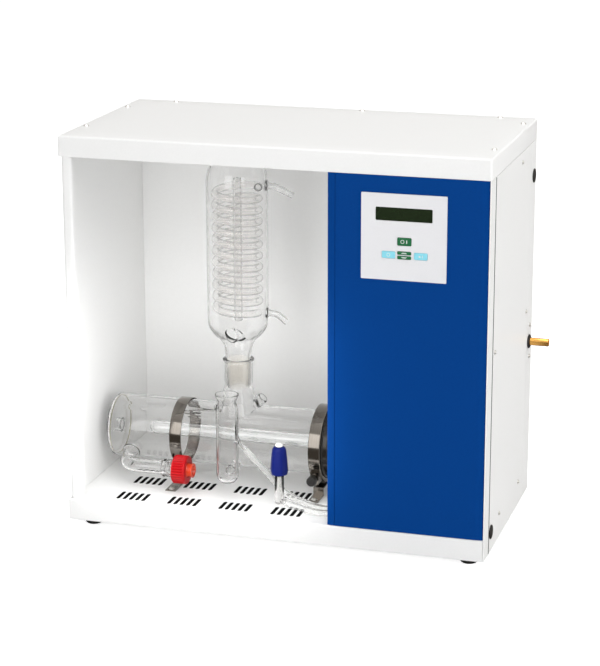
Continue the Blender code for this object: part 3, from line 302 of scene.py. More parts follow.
# ------------------------------------------------------------------ top cover
# A folded sheet-steel lid, 1.5 mm thick, with a 24 mm skirt all round.  Its edges are bent on a 2.5 mm radius
# and it is sprayed with white powder coat, which bakes to a satin skin with a faint orange peel.
CABINET_W, CABINET_D, CABINET_H, SHEET = 500.0, 260.0, 460.0, 1.5
LID_BOTTOM = 436.0
BEND = 2.5
TOP_SCREWS = ((9, 66), (9, 200), (53, 251), (289, 251), (457, 251), (491, 217), (491, 53))


def rounded_loop(low, high, radius, inset=0.0, steps=6):
    """The outline of a rectangle with round corners, drawn in by inset: four quarter circles in turn."""
    low, high = np.array(low, float) + inset, np.array(high, float) - inset
    radius = max(radius - inset, 0.15)
    turn = np.radians(np.linspace(0, 90, steps + 1)[None, :] + np.array([0, 90, 180, 270])[:, None])
    centre = np.array([(high[0] - radius, high[1] - radius), (low[0] + radius, high[1] - radius),
                       (low[0] + radius, low[1] + radius), (high[0] - radius, low[1] + radius)])
    return (centre[:, None] + radius * np.stack([np.cos(turn), np.sin(turn)], axis=-1)).reshape(-1, 2)


def stacked(low, high, radius, levels, steps=6):
    """Round-cornered outlines stacked on their heights: each level is an inset and a height."""
    loops = [rounded_loop(low, high, radius, inset, steps) for inset, _ in levels]
    return np.array([np.column_stack([loop, np.full(len(loop), height)])
                     for loop, (_, height) in zip(loops, levels)])


def arc(centre, radius, first, last, steps=6):
    """Points on part of a circle, from the first angle to the last, in degrees."""
    turn = np.radians(np.linspace(first, last, steps + 1))
    return np.column_stack([centre[0] + radius * np.cos(turn), centre[1] + radius * np.sin(turn)])


# White powder coat: satin, with a mottle a few millimetres across.
white_paint = finish("white_powder_coat", "#F7F7F6", "#F2F2F1", 2.6, (0.34, 0.44), 0.012,
                     Specular_IOR_Level=0.35)
lid_levels = np.vstack([(30, CABINET_H - SHEET), arc((BEND, CABINET_H - BEND), BEND - SHEET, 90, 180),
                        (SHEET, LID_BOTTOM + 0.3), (SHEET - 0.3, LID_BOTTOM), (0.3, LID_BOTTOM),
                        (0, LID_BOTTOM + 0.3), arc((BEND, CABINET_H - BEND), BEND, 180, 90), (30, CABINET_H)])
show("top_cover_shell", solid(stacked((0, 0), (CABINET_W, CABINET_D), BEND, lid_levels), caps=True),
     white_paint, "top_cover")


def turned(profile, foot, way, sides=48, flutes=None):
    """(radius, height) points turned about the line from foot along way.  flutes(turn, height) scales the
    radius, with turn the angle round the axis."""
    profile = np.asarray(profile, float)
    way = np.asarray(way, float) / np.linalg.norm(way)
    across = np.cross(way, (0, 0, 1) if abs(way[2]) < 0.9 else (0, 1, 0))
    across /= np.linalg.norm(across)
    turn = np.linspace(0, 2 * pi, sides, endpoint=False)[None, :]
    radius = profile[:, :1] * (flutes(turn, profile[:, 1:]) if flutes else 1.0)
    return (np.asarray(foot, float) + profile[:, 1][:, None, None] * way
            + (radius * np.cos(turn))[..., None] * across
            + (radius * np.sin(turn))[..., None] * np.cross(way, across))


def joined(meshes):
    """Several closed meshes in one piece, as a set of like fasteners."""
    shape = bmesh.new()
    for mesh in meshes:
        shape.from_mesh(mesh)
        bpy.data.meshes.remove(mesh)
    made = bpy.data.meshes.new("joined")
    shape.to_mesh(made)
    shape.free()
    return made


# Stainless button-head screws, M4 with a socket, hold the lid to the walls and close the right side.
BUTTON = np.vstack([(0, 0.5), (1.15, 0.5), (1.25, 0.6), (1.25, 1.6), (1.4, 1.75),
                    arc((0, -2.35), 4.1, 62, 35, 6), (3.55, 0), (0, 0)])
screw_steel = finish("stainless_screw_steel", "#E2E0DC", "#CFCCC6", 0.8, (0.3, 0.42), 0.004, Metallic=0.8)
show("top_cover_screws",
     joined([solid(turned(BUTTON, (x, y, CABINET_H), (0, 0, 1), 24)) for x, y in TOP_SCREWS]), screw_steel)

# ------------------------------------------------------------------ base tray and feet
# The tray is the cabinet's floor: a folded box, 26 mm deep, open below, with eight groups of five punched
# vent slots.  It keeps its CAD shape.  Under its corners are four turned rubber feet.


def repaint(material, *nodes):
    """Give CAD nodes a finish in place of their plain one."""
    for node in nodes:
        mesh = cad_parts[node].data
        mesh.materials.clear()
        mesh.materials.append(material)


repaint(white_paint, "base_tray")

# A black sheet is pressed up into the vents from below: painted shade, so the slots read as dark as the unlit
# tray.
VENT_SHADE_LOW, VENT_SHADE_HIGH = (8, 7), (488, 106)
# Near-black matt finish of the painted shade sheet under the vents.
vent_shade_black = finish("painted_vent_shade", "#171616", "#0C0B0B", 0.5, (0.9, 1.0), 0.15, (1, 0.3, 1),
                     Specular_IOR_Level=0.1)
vent_shade_levels = [(0.4, 19.6), (0, 20), (0, 24.6), (0.8, 25.3), (3, 25.5), (12, 25.6)]
show("vent_shade_sheet", solid(stacked(VENT_SHADE_LOW, VENT_SHADE_HIGH, 6, vent_shade_levels), caps=True), vent_shade_black)

# Black natural rubber, moulded: matt, greyed a little by its bloom.
black_rubber = finish("black_rubber", "#252323", "#121010", 1.2, (0.55, 0.75), 0.02)
FOOT_PLACES = {"front_left": (22, 25), "front_right": (478, 25), "back_left": (22, 235),
               "back_right": (478, 235)}
FOOT = np.vstack([(0, 5.8), (3.0, 5.8), (5.4, 2.4), (5.4, 2.1), (4.0, 1.8), (4.0, -0.3), (10.2, -0.3),
                  (10.5, -0.6), (10.5, -3.2), arc((7.1, -6.6), 3.4, 20, -88, 10), (0, -10.0)])
for corner_name, (x, y) in FOOT_PLACES.items():
    show(f"rubber_foot_{corner_name}", solid(turned(FOOT, (x, y, 0), (0, 0, 1))), black_rubber,
         f"foot_{corner_name}")

# ------------------------------------------------------------------ walls, posts and right side
# The left wall is one folded sheet with a round-nosed post at the front.  Back wall, partition, right front
# post and service panel are plain sheets and keep their CAD shapes.
WALL_TOP = 458.2


def softened(corners, radius, closed=False, steps=6):
    """A polyline with its corners eased: at each, a parabola from a point radius before it to one radius
    after, or 45 hundredths of the shorter leg if that is less."""
    corners = np.asarray(corners, float)
    before, after = np.roll(corners, 1, axis=0) - corners, np.roll(corners, -1, axis=0) - corners
    legs = [np.linalg.norm(leg, axis=1)[:, None] for leg in (before, after)]
    reach = np.minimum(np.broadcast_to(np.asarray(radius, float).reshape(-1, 1), (len(corners), 1)),
                       0.45 * np.minimum(*legs))
    start, end = corners + before / legs[0] * reach, corners + after / legs[1] * reach
    t = np.linspace(0, 1, steps + 1)[None, :, None]
    eased = (1 - t)**2 * start[:, None] + 2 * t * (1 - t) * corners[:, None] + t**2 * end[:, None]
    if closed:
        return eased.reshape(-1, corners.shape[1])
    return np.vstack([corners[:1], eased[1:-1].reshape(-1, corners.shape[1]), corners[-1:]])


def folded(line, thickness):
    """The outline of a sheet folded along a line: the line moved half a thickness to one side, then back
    along the other side."""
    along = np.gradient(line, axis=0)
    along /= np.linalg.norm(along, axis=1)[:, None]
    side = np.column_stack([-along[:, 1], along[:, 0]]) * thickness / 2
    return np.vstack([line + side, (line - side)[::-1]])


def upright(loop, low, high):
    """A flat loop raised from one height to another."""
    return np.array([np.column_stack([loop, np.full(len(loop), height)]) for height in (low, high)])


wall_line = softened([(3.75, 256.4), (3.75, 2.55), (14.75, 2.55), (14.75, 11.8)], 3.0)
show("left_wall_sheet", solid(upright(folded(wall_line, SHEET), FLOOR_Z, WALL_TOP), caps=True),
     white_paint, "left_wall")
repaint(white_paint, "back_wall", "partition_wall", "right_front_post", "right_service_panel")

SIDE_SCREWS = ((36, 236), (217, 236), (81, 31), (193, 31), (172, 424), (243, 213), (243, 174))
show("right_side_screws",
     joined([solid(turned(BUTTON * (0.8, 1), (CABINET_W, y, z), (1, 0, 0), 24)) for y, z in SIDE_SCREWS]),
     screw_steel)

# A thin black strip fills the joint between the right front post and the service panel: painted shade for the
# gap, in the black rubber finish.
gap_shade_line = softened([(499.4, 23.0), (500.25, 23.2), (500.5, 24.3), (500.25, 25.4), (499.4, 25.6)], 0.6,
                     True, 3)
show("service_panel_gap_shade", solid(upright(gap_shade_line, 1.5, 435.5), caps=True), black_rubber)

# Black polyethylene plugs close two spare holes in the right side.
black_moulding = finish("black_polyamide", "#242322", "#161514", 0.9, (0.38, 0.52), 0.012)
PLUG = np.vstack([(0, 1.4), (6.2, 1.4), arc((6.9, 0), 1.4, 88, 0, 6), (8.3, 0), (6.7, 0), (6.4, -3),
                  (6.6, -4), (6.1, -5), (0, -5)])
for end, (y, z) in {"front": (34, 25), "rear": (243.5, 394.6)}.items():
    show(f"side_plug_{end}", solid(turned(PLUG, (CABINET_W + 0.3, y, z), (1, 0, 0))), black_moulding,
         f"hole_plug_{end}")

# ------------------------------------------------------------------ blue front panel
# A sheet-steel front, folded back at both sides, with a shallow bend 8 mm in from each edge and a scored line
# at the left one.  Ultramarine powder coat with the same satin skin as the white.
PANEL_TOP = 435.7
PANEL_WINDOW = (364, 444, 330, 408)


def block(low, high):
    """A plain box between two corners, as a cutter."""
    return upright(np.array([(low[0], low[1]), (high[0], low[1]), (high[0], high[1]), (low[0], high[1])],
                            float), low[2], high[2])


def fused(solids, bores):
    """Solids melted into one and bores taken out of it, by exact Booleans on closed meshes."""
    parts = [bpy.data.objects.new("melt", mesh) for mesh in (*solids, *bores)]
    for part in parts:
        bpy.context.scene.collection.objects.link(part)
    for part in parts[1:]:
        change = parts[0].modifiers.new("melt", "BOOLEAN")
        change.operation = "UNION" if part in parts[1:len(solids)] else "DIFFERENCE"
        change.object = part
        change.solver = "EXACT"
    bpy.context.view_layer.update()
    mesh = bpy.data.meshes.new_from_object(parts[0].evaluated_get(bpy.context.evaluated_depsgraph_get()))
    for part in parts:
        bpy.data.objects.remove(part)
    return mesh


blue_paint = finish("ultramarine_powder_coat", "#04428C", "#033C84", 2.6, (0.4, 0.5), 0.012,
                    Specular_IOR_Level=0.03)
panel_line = softened([(317.75, 12), (317.75, 1.6), (326, 0.75), (489.2, 0.75), (497.4, 1.6), (497.4, 12)],
                      1.2)
panel = solid(upright(folded(panel_line, SHEET), FLOOR_Z, PANEL_TOP), caps=True)
panel_cut = solid(block((PANEL_WINDOW[0], -4, PANEL_WINDOW[2]), (PANEL_WINDOW[1], 6, PANEL_WINDOW[3])),
                  caps=True)
score = solid(block((325.7, -2, 20), (326.3, 0.7, 450)), caps=True)
show("blue_panel_sheet", fused([panel], [panel_cut, score]), blue_paint,
     "blue_front_panel")

# ------------------------------------------------------------------ keypad and display
# A light grey polyester overlay is stuck to the panel.  Five short-travel keys stand in its cut-outs, and a
# smoked window covers the display.  Their marks are plain rings and bars.
overlay_film = finish("polyester_overlay", "#EDEDEF", "#E8E8EB", 1.8, (0.32, 0.42), 0.004)
repaint(overlay_film, "keypad_overlay")
smoked_acrylic = finish("smoked_acrylic", "#1E2D18", "#162210", 3.0, (0.06, 0.1), 0.002)
repaint(smoked_acrylic, "display_window")
repaint(black_moulding, "display_module")

KEY_BACK, KEY_FRONT = -0.2, -2.0
green_key = finish("green_keycap", "#0A7440", "#046636", 1.0, (0.30, 0.42), 0.01)
cyan_key = finish("cyan_keycap", "#97E6F6", "#86DDF0", 1.0, (0.30, 0.42), 0.01)
mark_ink = finish("white_mark_ink", "#F2F8F4", "#E2ECE6", 0.6, (0.4, 0.5), 0.002)
KEYS = {"power": (404.7, 363.8, 15.6, 8.8, green_key, "green_key"),
        "left": (387.1, 348.4, 14.8, 7.6, cyan_key, "cyan_key"),
        "right": (423.3, 348.4, 14.8, 7.6, cyan_key, "cyan_key"),
        "up": (404.7, 351.0, 15.4, 3.6, green_key, "green_key"),
        "down": (404.7, 346.0, 15.4, 3.6, green_key, "green_key")}


def facing(points):
    """Turn a shape stacked up from the xy plane to stand in the xz plane, stacked towards -y."""
    return np.stack([points[..., 0], -points[..., 2], points[..., 1]], axis=-1)


def ring_mark(x, z, radius, width):
    """A flat ring on a key: a small rectangle turned about the key's normal."""
    return turned([(radius, 0.12), (radius, 0), (radius - width, 0), (radius - width, 0.12)],
                  (x, KEY_FRONT, z), (0, -1, 0), 40)


def bar_mark(x, z, width, height):
    """A flat bar on a key, with eased corners."""
    levels = [(0, -KEY_FRONT), (0, -KEY_FRONT + 0.12)]
    return facing(stacked((x - width / 2, z - height / 2), (x + width / 2, z + height / 2), 0.2, levels, 3))


MARKS = {"power": [("ring", -2.0, 0, 2.1, 0.5), ("bar", 2.9, 0, 0.8, 3.8)],
         "left": [("ring", 0, 0, 2.0, 0.45)],
         "right": [("bar", -1.2, 0, 1.8, 1.8), ("bar", 1.9, 0, 0.6, 2.8)],
         "up": [("bar", 0, 0.35, 4.4, 0.5), ("bar", 0, -0.4, 6.4, 0.5)],
         "down": [("bar", 0, 0.4, 6.4, 0.5), ("bar", 0, -0.35, 4.4, 0.5)]}
for key, (x, z, width, height, paint, key_slot) in KEYS.items():
    low, high = (x - width / 2, z - height / 2), (x + width / 2, z + height / 2)
    levels = np.vstack([(0, -KEY_BACK), (0, -KEY_FRONT - 0.45),
                        arc((0.45, -KEY_FRONT - 0.45), 0.45, 180, 110, 4), (1.2, -KEY_FRONT),
                        (min(height, width) / 2 - 0.4, -KEY_FRONT)])
    show(f"{key}_keycap", solid(facing(stacked(low, high, 1.0, levels)), caps=True), paint,
         f"key_{key}", 60, f"{key}_key")
    marks = [solid(ring_mark(x + dx, z + dz, a, b), True) if kind == "ring"
             else solid(bar_mark(x + dx, z + dz, a, b), caps=True) for kind, dx, dz, a, b in MARKS[key]]
    show(f"{key}_key_mark", joined(marks), mark_ink, body=f"{key}_key")

# ------------------------------------------------------------------ dry bay
# Behind the panel: the control board with its key switches, a relay, a terminal block, a power supply, and
# the solenoid valve that feeds cooling water from the brass tube.  They keep their CAD shapes.
board_green = finish("solder_resist", "#1C6B3C", "#14542E", 3.5, (0.28, 0.4), 0.02)
repaint(board_green, "control_board")
repaint(black_moulding, "valve_coil", "power_relay")
zinc = finish("zinc_plated_steel", "#B9BCBE", "#9DA1A4", 4.0, (0.3, 0.45), 0.01, Metallic=1.0)
repaint(zinc, "power_supply")
white_nylon = finish("white_nylon", "#E9E8E3", "#DEDCD6", 1.4, (0.4, 0.5), 0.01)
repaint(white_nylon, "terminal_block")
valve_brass = finish("cast_valve_brass", "#D9AE66", "#B98A45", 1.6, (0.3, 0.45), 0.02, Metallic=1.0)
repaint(valve_brass, "solenoid_valve")

# The drawn brass tube leaves through a black rubber grommet, and its end is chamfered.
OUTLET = np.array([525.0, 236.5, 194.0])
drawn_brass = finish("drawn_brass", "#F2BE6C", "#D9994A", 0.5, (0.16, 0.26), 0.004, (0.03, 1, 1),
                     Metallic=1.0)
tube_wall = softened([(4.7, 0), (4.7, -66), (3.4, -66), (3.4, 0)], 0.5, True, 4)
show("brass_water_tube", solid(turned(tube_wall, OUTLET, (1, 0, 0)), True), drawn_brass,
     "brass_outlet")
grommet_wall = softened([(6.4, 5.5), (8.4, 4.2), (8.4, 3.3), (6.7, 3.3), (6.7, 0.9), (8.4, 0.9), (8.4, 0),
                         (5, 0), (5, 5.5)], 0.5, True, 4)
show("rubber_grommet", solid(turned(grommet_wall, (497.3, 236.5, 194), (1, 0, 0)), True),
     black_rubber, "outlet_grommet")

# The mains gland on the back is a black nylon cable gland with a hexagon, its nut inside.
GLAND = (455.0, 259.0, 70.0)
HEXAGON = 6


def hexagonal(low, high):
    """Flutes that leave a turned shape six-sided between two heights: radius over the cosine to the
    nearest flat."""
    def scale(turn, height):
        flat = cos(pi / HEXAGON) / np.cos((turn + pi / HEXAGON) % (2 * pi / HEXAGON) - pi / HEXAGON)
        return np.where((height >= low) & (height <= high), flat, 1.0)
    return scale


gland_wall = np.vstack([(4.5, -13), (4.5, 13.2), (4.8, 13.5), (6.4, 13.5), arc((4.6, 9.5), 4.0, 60, 10, 5),
                        (9.2, 6.2), (9.4, 6), (11.0, 5.8), (11.0, 1.0), (8, 1), (8, -13)])
show("cable_gland", solid(turned(gland_wall, GLAND, (0, 1, 0), 72, hexagonal(0.9, 5.9)), True),
     black_moulding, "mains_gland")
repaint(black_moulding, "gland_nut")

# ------------------------------------------------------------------ boiler
# One piece of borosilicate glass: a closed cylinder of 76 mm tube with a ground flange at the right, a 29/32
# socket on top, a filling stub and an end port, all melted on.  Drawn tube has faint lengthwise streaks.
AXIS_Y, AXIS_Z = 115.0, 85.0
BOILER = np.array([18.5, AXIS_Y, AXIS_Z])
BOILER_R, WALL, BOILER_L, FLANGE_R, FLANGE_T, END_BEND = 38.2, 1.7, 266.3, 43.5, 4.6, 5.0
CONDENSER_X = 175.0
SOCKET_TOP = 181.0
CONE_TOP, CONE_FOOT = 15.0, 13.3

glass = finish("borosilicate_glass", "#FFFFFF", "#FEFEFE", 40.0, (0.0, 0.012), 0.05, (0.15, 1, 1),
               Transmission_Weight=1.0, IOR=1.473)
# The same glass where the joint is ground with 120 grit: a pale, silky scatter.
ground_glass = finish("ground_glass", "#FFFFFF", "#FFFCF6", 1.2, (0.14, 0.22), 0.01, Transmission_Weight=1.0,
                      IOR=1.473)

boiler_skin = np.vstack([(0, 0.2), (14, 0.3), (28, 0.3),
                         arc((BOILER_R - END_BEND, END_BEND), END_BEND, -84, 0, 10),
                         (BOILER_R, BOILER_L - 14), (BOILER_R + 0.4, BOILER_L - FLANGE_T - 5),
                         (BOILER_R + 2.2, BOILER_L - FLANGE_T - 1.2),
                         (FLANGE_R - 0.8, BOILER_L - FLANGE_T), (FLANGE_R, BOILER_L - FLANGE_T + 0.8),
                         (FLANGE_R, BOILER_L - 0.5), (FLANGE_R - 0.5, BOILER_L), (0, BOILER_L)])
boiler_space = np.vstack([(0, WALL + 0.2), (14, WALL + 0.2), (28, WALL + 0.3),
                          arc((BOILER_R - END_BEND - 0.6, END_BEND + 0.6), END_BEND - WALL + 0.6, -84, 0, 10),
                          (BOILER_R - WALL, BOILER_L + 5), (0, BOILER_L + 5)])
NECK_FOOT = (CONDENSER_X, AXIS_Y, SOCKET_TOP - 63)
neck_skin = np.vstack([(0, 63), (17.6, 63), arc((17.4, 61.6), 1.4, 80, -60, 8), (16.9, 58.6),
                       softened([(16.8, 57), (16.8, 31), (18, 24), (20.5, 14), (25.5, 4), (28, -2),
                                 (29, -12)], 6), (0, -12)])
neck_space = np.vstack([(0, 66), (CONE_TOP, 66), (CONE_TOP, 62.8), (CONE_FOOT, 31),
                        softened([(13.4, 30), (15.6, 24), (18, 14), (22.5, 3), (25.5, -3), (26, -26)], 6),
                        (0, -26)])
STUB_START = np.array([184.0, 113.0, 112.0])
STUB_WAY = np.array([0.69, -0.05, 0.72])
stub_skin = softened([(0, 33), (6.0, 33), (6.6, 32), (6.2, 17), (4.2, 12), (4.2, 8), (6.5, -1), (0, -1)], 1.2)
stub_space = softened([(0, 36), (5.6, 36), (5.2, 17), (3.2, 13), (3.2, -6), (0, -6)], 1.0)
PORT = (20.0, 129.0, 79.0)
port_skin = softened([(0, 9), (7.4, 9), (8, 8.2), (8, 3), (9.6, 0.2), (0, 0)], 0.8)
port_space = softened([(0, 12), (6.2, 12), (6.2, -5), (0, -5)], 0.1)
boiler_mesh = fused([
    solid(turned(boiler_skin, BOILER, (1, 0, 0), 128)), solid(turned(neck_skin, NECK_FOOT, (0, 0, 1), 96)),
    solid(turned(stub_skin, STUB_START, STUB_WAY, 40)), solid(turned(port_skin, PORT, (-1, 0, 0), 48))], [
    solid(turned(boiler_space, BOILER, (1, 0, 0), 128)),
    solid(turned(neck_space, NECK_FOOT, (0, 0, 1), 96)),
    solid(turned(stub_space, STUB_START, STUB_WAY, 32)),
    solid(turned(port_space, PORT, (-1, 0, 0), 48))])


def grind(mesh, low, high, reach, axis_x, axis_y):
    """Give a joint's faces the second material: those between two heights and within reach of its axis."""
    centres = np.empty(len(mesh.polygons) * 3)
    mesh.polygons.foreach_get("center", centres)
    x, y, z = ((centres.reshape(-1, 3) / MM) - CORNER / MM).T
    inside = (z > low) & (z < high) & (np.hypot(x - axis_x, y - axis_y) < reach)
    mesh.polygons.foreach_set("material_index", inside.astype(np.int32))


show("boiler_vessel", boiler_mesh, [glass, ground_glass], "boiler_glass", 50)
grind(boiler_mesh, SOCKET_TOP - 32.5, SOCKET_TOP - 1.5, 15.6, CONDENSER_X, AXIS_Y)

# The round end was melted on, and its seam stands inside the tube as a thin straw-coloured bead.
seam_glass = finish("iron_tinted_glass", "#E2D9B4", "#CFC59B", 6.0, (0.0, 0.02), 0.02,
                    Transmission_Weight=0.6, IOR=1.473)
show("boiler_end_seam",
     solid(turned(arc((35.6, 0), 0.55, 0, 330, 11), (23.2, AXIS_Y, AXIS_Z), (1, 0, 0), 128), True),
     seam_glass, "boiler_glass")

# ------------------------------------------------------------------ heater
# A clear quartz sheath reaches along the boiler.  It is cemented into a black moulded flange, which seals
# on a rubber gasket, and its wires leave through a ceramic cap in the dry bay.
SHEATH_X, SHEATH_L, SHEATH_R = 62.0, 230.0, 8.0
quartz = finish("clear_quartz", "#FFFFFF", "#FBFDFD", 30.0, (0.0, 0.02), 0.04, (0.15, 1, 1),
                Transmission_Weight=1.0, IOR=1.46)
sheath_wall = np.vstack([(0, 0), arc((0, SHEATH_R), SHEATH_R, -84, 0, 10), (SHEATH_R, SHEATH_L),
                         (SHEATH_R - 1.4, SHEATH_L), (SHEATH_R - 1.4, SHEATH_R),
                         arc((0, SHEATH_R), SHEATH_R - 1.4, 0, -84, 10), (0, 1.4)])
show("quartz_sheath", solid(turned(sheath_wall, (SHEATH_X, AXIS_Y, AXIS_Z), (1, 0, 0), 40)), quartz,
     "heater_sheath")
flange_black = finish("black_phenolic", "#201E1D", "#141211", 1.0, (0.16, 0.26), 0.008)
FLANGE_X = 287.0
flange_wall = softened([(0, 40), (22, 40), (22, 11), (39.5, 8.5), (39.5, 2.4), (41.2, 2), (41.2, 0),
                        (9, 0), (9, 6), (0, 6)], 0.8)
show("heater_plate", solid(turned(flange_wall, (FLANGE_X, AXIS_Y, AXIS_Z), (1, 0, 0), 96)), flange_black,
     "heater_flange")
gasket_wall = softened([(41.3, 1.6), (41.3, 0), (34, 0), (34, 1.6)], 0.3, True, 3)
show("flange_seal", solid(turned(gasket_wall, (285.1, AXIS_Y, AXIS_Z), (1, 0, 0), 96), True), black_rubber,
     "flange_gasket")
steatite = finish("steatite_ceramic", "#E9E4DA", "#DCD5C8", 0.7, (0.55, 0.7), 0.02)
cap_wall = softened([(19, 16), (20, 15), (20, 0), (6, 0), (6, 16)], 0.8, True)
show("ceramic_terminal_cap", solid(turned(cap_wall, (327.3, AXIS_Y, AXIS_Z), (1, 0, 0), 64), True),
     steatite, "heater_cap")

# ------------------------------------------------------------------ drain arm and screw cap
# A bent glass arm leads from the boiler's underside to a GL 25 thread.  A red polybutylene screw cap
# presses an orange nozzle and its white seal ring on the thread's end.
DRAIN_Y, DRAIN_Z = 52.0, 56.8
ARM_R, ARM_BORE = 8.1, 6.1
arm_line = smooth([(122, DRAIN_Y, DRAIN_Z), (102, DRAIN_Y, DRAIN_Z), (84, DRAIN_Y, DRAIN_Z),
                   (66, DRAIN_Y, DRAIN_Z), (54.5, DRAIN_Y + 4, DRAIN_Z + 1),
                   (51, DRAIN_Y + 15, DRAIN_Z + 4), (51, 77.6, DRAIN_Z + 8.4)], 220)
arm_run = np.append(0, np.cumsum(np.linalg.norm(np.diff(arm_line, axis=0), axis=1)))
thread_crest = 1.2 * np.clip(np.sin(arm_run * 2 * pi / 3.0), 0, 1) * (arm_run > 1) * (arm_run < 16.5)
bead = 1.6 * np.exp(-((arm_run - 19.5) / 1.3) ** 2)
thread_swell = 1.1 / (1 + np.exp((arm_run - 23) / 1.2))
weld = 2.6 * np.clip((arm_run - arm_run[-1] + 6) / 6, 0, 1) ** 2
show("drain_tube",
     solid(pipe(arm_line, ARM_R + thread_crest + bead + thread_swell + weld, ARM_BORE + 0.6 * weld,
                (0, 0, 1), 48, 0.5), True), glass, "drain_arm")

CAP_X, CAP_R, CAP_L, CAP_WALL, CAP_RIBS, RIB_DEPTH = 115.5, 17.0, 16.5, 2.5, 30, 0.1
red_cap = finish("red_polybutylene", "#AC1118", "#920B11", 1.5, (0.28, 0.4), 0.012,
                 Specular_IOR_Level=0.15)


def ribbed(turn, height):
    """Thirty round ribs: the radius dips by one less a cosine to the power 1.4, but not near the ends."""
    dip = RIB_DEPTH * (1 - np.abs(np.cos(turn * CAP_RIBS / 2)) ** 1.4)
    return 1 - dip * np.clip((height - 0.6) / 1.6, 0, 1) * np.clip((CAP_L - 1.6 - height) / 1.2, 0, 1)


cap_outline = np.vstack([softened([(11.2, 0), (16.6, 0), (CAP_R, 0.6)], 0.4)[:-1],
                         np.column_stack([np.full(18, CAP_R), np.linspace(0.6, CAP_L - 2.2, 18)]),
                         arc((CAP_R - 1.8, CAP_L - 1.8), 1.8, 0, 84, 8), (9.4, CAP_L), (9, CAP_L - 0.4),
                         (9, CAP_L - CAP_WALL + 0.1), (9.2, CAP_L - CAP_WALL), (11.1, CAP_L - CAP_WALL),
                         (11.1, 0.4)])
show("gl25_screw_cap",
     solid(turned(cap_outline, (CAP_X, DRAIN_Y, DRAIN_Z), (1, 0, 0), 240, ribbed), True), red_cap,
     "drain_cap", 35, "drain_screw_cap")
orange_nozzle = finish("orange_silicone", "#C83C16", "#AE2C10", 1.2, (0.14, 0.24), 0.02, Coat_Weight=0.5,
                       Subsurface_Weight=0.15, Subsurface_Scale=0.002)
nozzle_wall = softened([(8.2, 14.5), (8.6, 14.1), (8.6, 12.8), (8.1, 12.0), (8.1, 8.4), (8.6, 7.4),
                        (8.6, 5.2), (10.6, 5), (10.6, 0.3), (5, 0.3), (5, 11), (6.6, 14.5)], 0.4, True, 4)
show("drain_nozzle_insert", solid(turned(nozzle_wall, (124.2, DRAIN_Y, DRAIN_Z), (1, 0, 0), 64), True),
     orange_nozzle, "drain_nozzle", body="drain_fitting")
ptfe = finish("white_ptfe", "#F0F0EC", "#E6E6E1", 1.0, (0.4, 0.5), 0.008)
repaint(ptfe, "drain_seal")

# ------------------------------------------------------------------ level vessel
# A glass tube closed below, with a flared rim.  A short link joins it to the boiler near its foot, and the
# overflow spigot slants down from its side.
VESSEL = (181.7, 50.0, 48.0)
vessel_wall = np.vstack([
    (0, 1.8), softened([(7, 2.2), (11.4, 6.5), (11.4, 90), (9.2, 96), (9.2, 99.6), (12.4, 106.4)], 3.5),
    arc((13.2, 107.1), 0.9, 180, -20, 6),
    softened([(13.9, 106.2), (10.9, 99), (10.9, 96.5), (13.2, 91), (13.2, 6), (8.6, 0.6)], 3.5), (0, 0)])
spigot_skin = softened([(0, 14), (2.6, 14), (2.6, 3), (5, -1.8), (0, -1.8)], 0.8)
LINK_FOOT = (181.7, 62.2, 58)
link_skin = softened([(0, 21.6), (7, 21.6), (5, 17), (5, 4), (7.4, 0), (0, 0)], 1.6)
vessel_parts = [solid(turned(vessel_wall, VESSEL, (0, 0, 1), 72)),
                solid(turned(spigot_skin, SPIGOT_START, SPIGOT_WAY, 28)),
                solid(turned(link_skin, LINK_FOOT, (0, 1, 0), 40)),
                solid(turned(arc((0, 0), 3.4, 90, -90, 12), (170.2, 45.4, 140), (-1, -0.2, 0), 24))]
vessel_bores = [solid(turned([(0, 20), (1.5, 20), (1.5, -4), (0, -4)], SPIGOT_START, SPIGOT_WAY, 24)),
                solid(turned([(0, 30), (3.4, 30), (3.4, -6), (0, -6)], LINK_FOOT, (0, 1, 0), 32))]
show("level_vessel_tube", fused(vessel_parts, vessel_bores), glass, "level_vessel", 50)

# ------------------------------------------------------------------ condenser
# A jacket of 72 mm tube, drawn down to the 29/32 cone, with two bent water arms and a side port melted on.
# Inside it an eleven-turn coil hangs round a straight central tube.
jacket_skin = np.vstack([(0, 452), (7.6, 452), (8, 451.4),
                         softened([(8, 440), (14, 433), (24, 426.5), (31, 417), (35, 405), (36.2, 392),
                                   (36.2, 236), (34.8, 220), (28.5, 211), (21, 204.5), (17, 197),
                                   (15.2, 186)], 9), (14.9, 181), (14.6, 179.5), (13.0, 149),
                         (12.9, 146.6), (12.5, 146), (0, 146)])
jacket_space = np.vstack([(0, 456), (5.5, 456),
                          softened([(5.5, 438), (12.4, 430.6), (22.4, 424), (29, 415), (32.6, 404),
                                    (33.8, 391), (33.8, 237), (32.5, 221.6), (26.8, 213.4), (19, 206.6),
                                    (15, 198), (13, 187)], 9), (12.4, 181), (10.8, 142), (0, 142)])
JACKET_AXIS = (CONDENSER_X, AXIS_Y, 0)
ARM_ENDS = ((391.5, (243, AXIS_Y, 382)), (239, (235.5, AXIS_Y, 229)))
condenser_skin = [solid(turned(jacket_skin, JACKET_AXIS, (0, 0, 1), 112))]
condenser_space = [solid(turned(jacket_space, JACKET_AXIS, (0, 0, 1), 112))]
for z, end in ARM_ENDS:
    reach = smooth([(CONDENSER_X + 33, AXIS_Y, z), (CONDENSER_X + 41, AXIS_Y, z),
                    (CONDENSER_X + 50, AXIS_Y, z - 1.8), end], 40)
    bore = np.vstack([reach, reach[-1:] * 2 - reach[-4:-3]])
    flare = 2.4 * np.exp(-((reach[:, 0] - CONDENSER_X - 36.4) / 1.8) ** 2)
    tip = 0.35 * np.exp(-((reach[:, 0] - end[0]) / 1.6) ** 2)
    condenser_skin.append(solid(pipe(reach, 3.9 + flare + tip, 0.001, (0, 1, 0), 32)[:len(reach)], caps=True))
    bell = 0.85 * np.append(flare, flare[-1])
    condenser_space.append(solid(pipe(bore, 2.6 + bell, 0.001, (0, 1, 0), 24)[:len(bore)], caps=True))
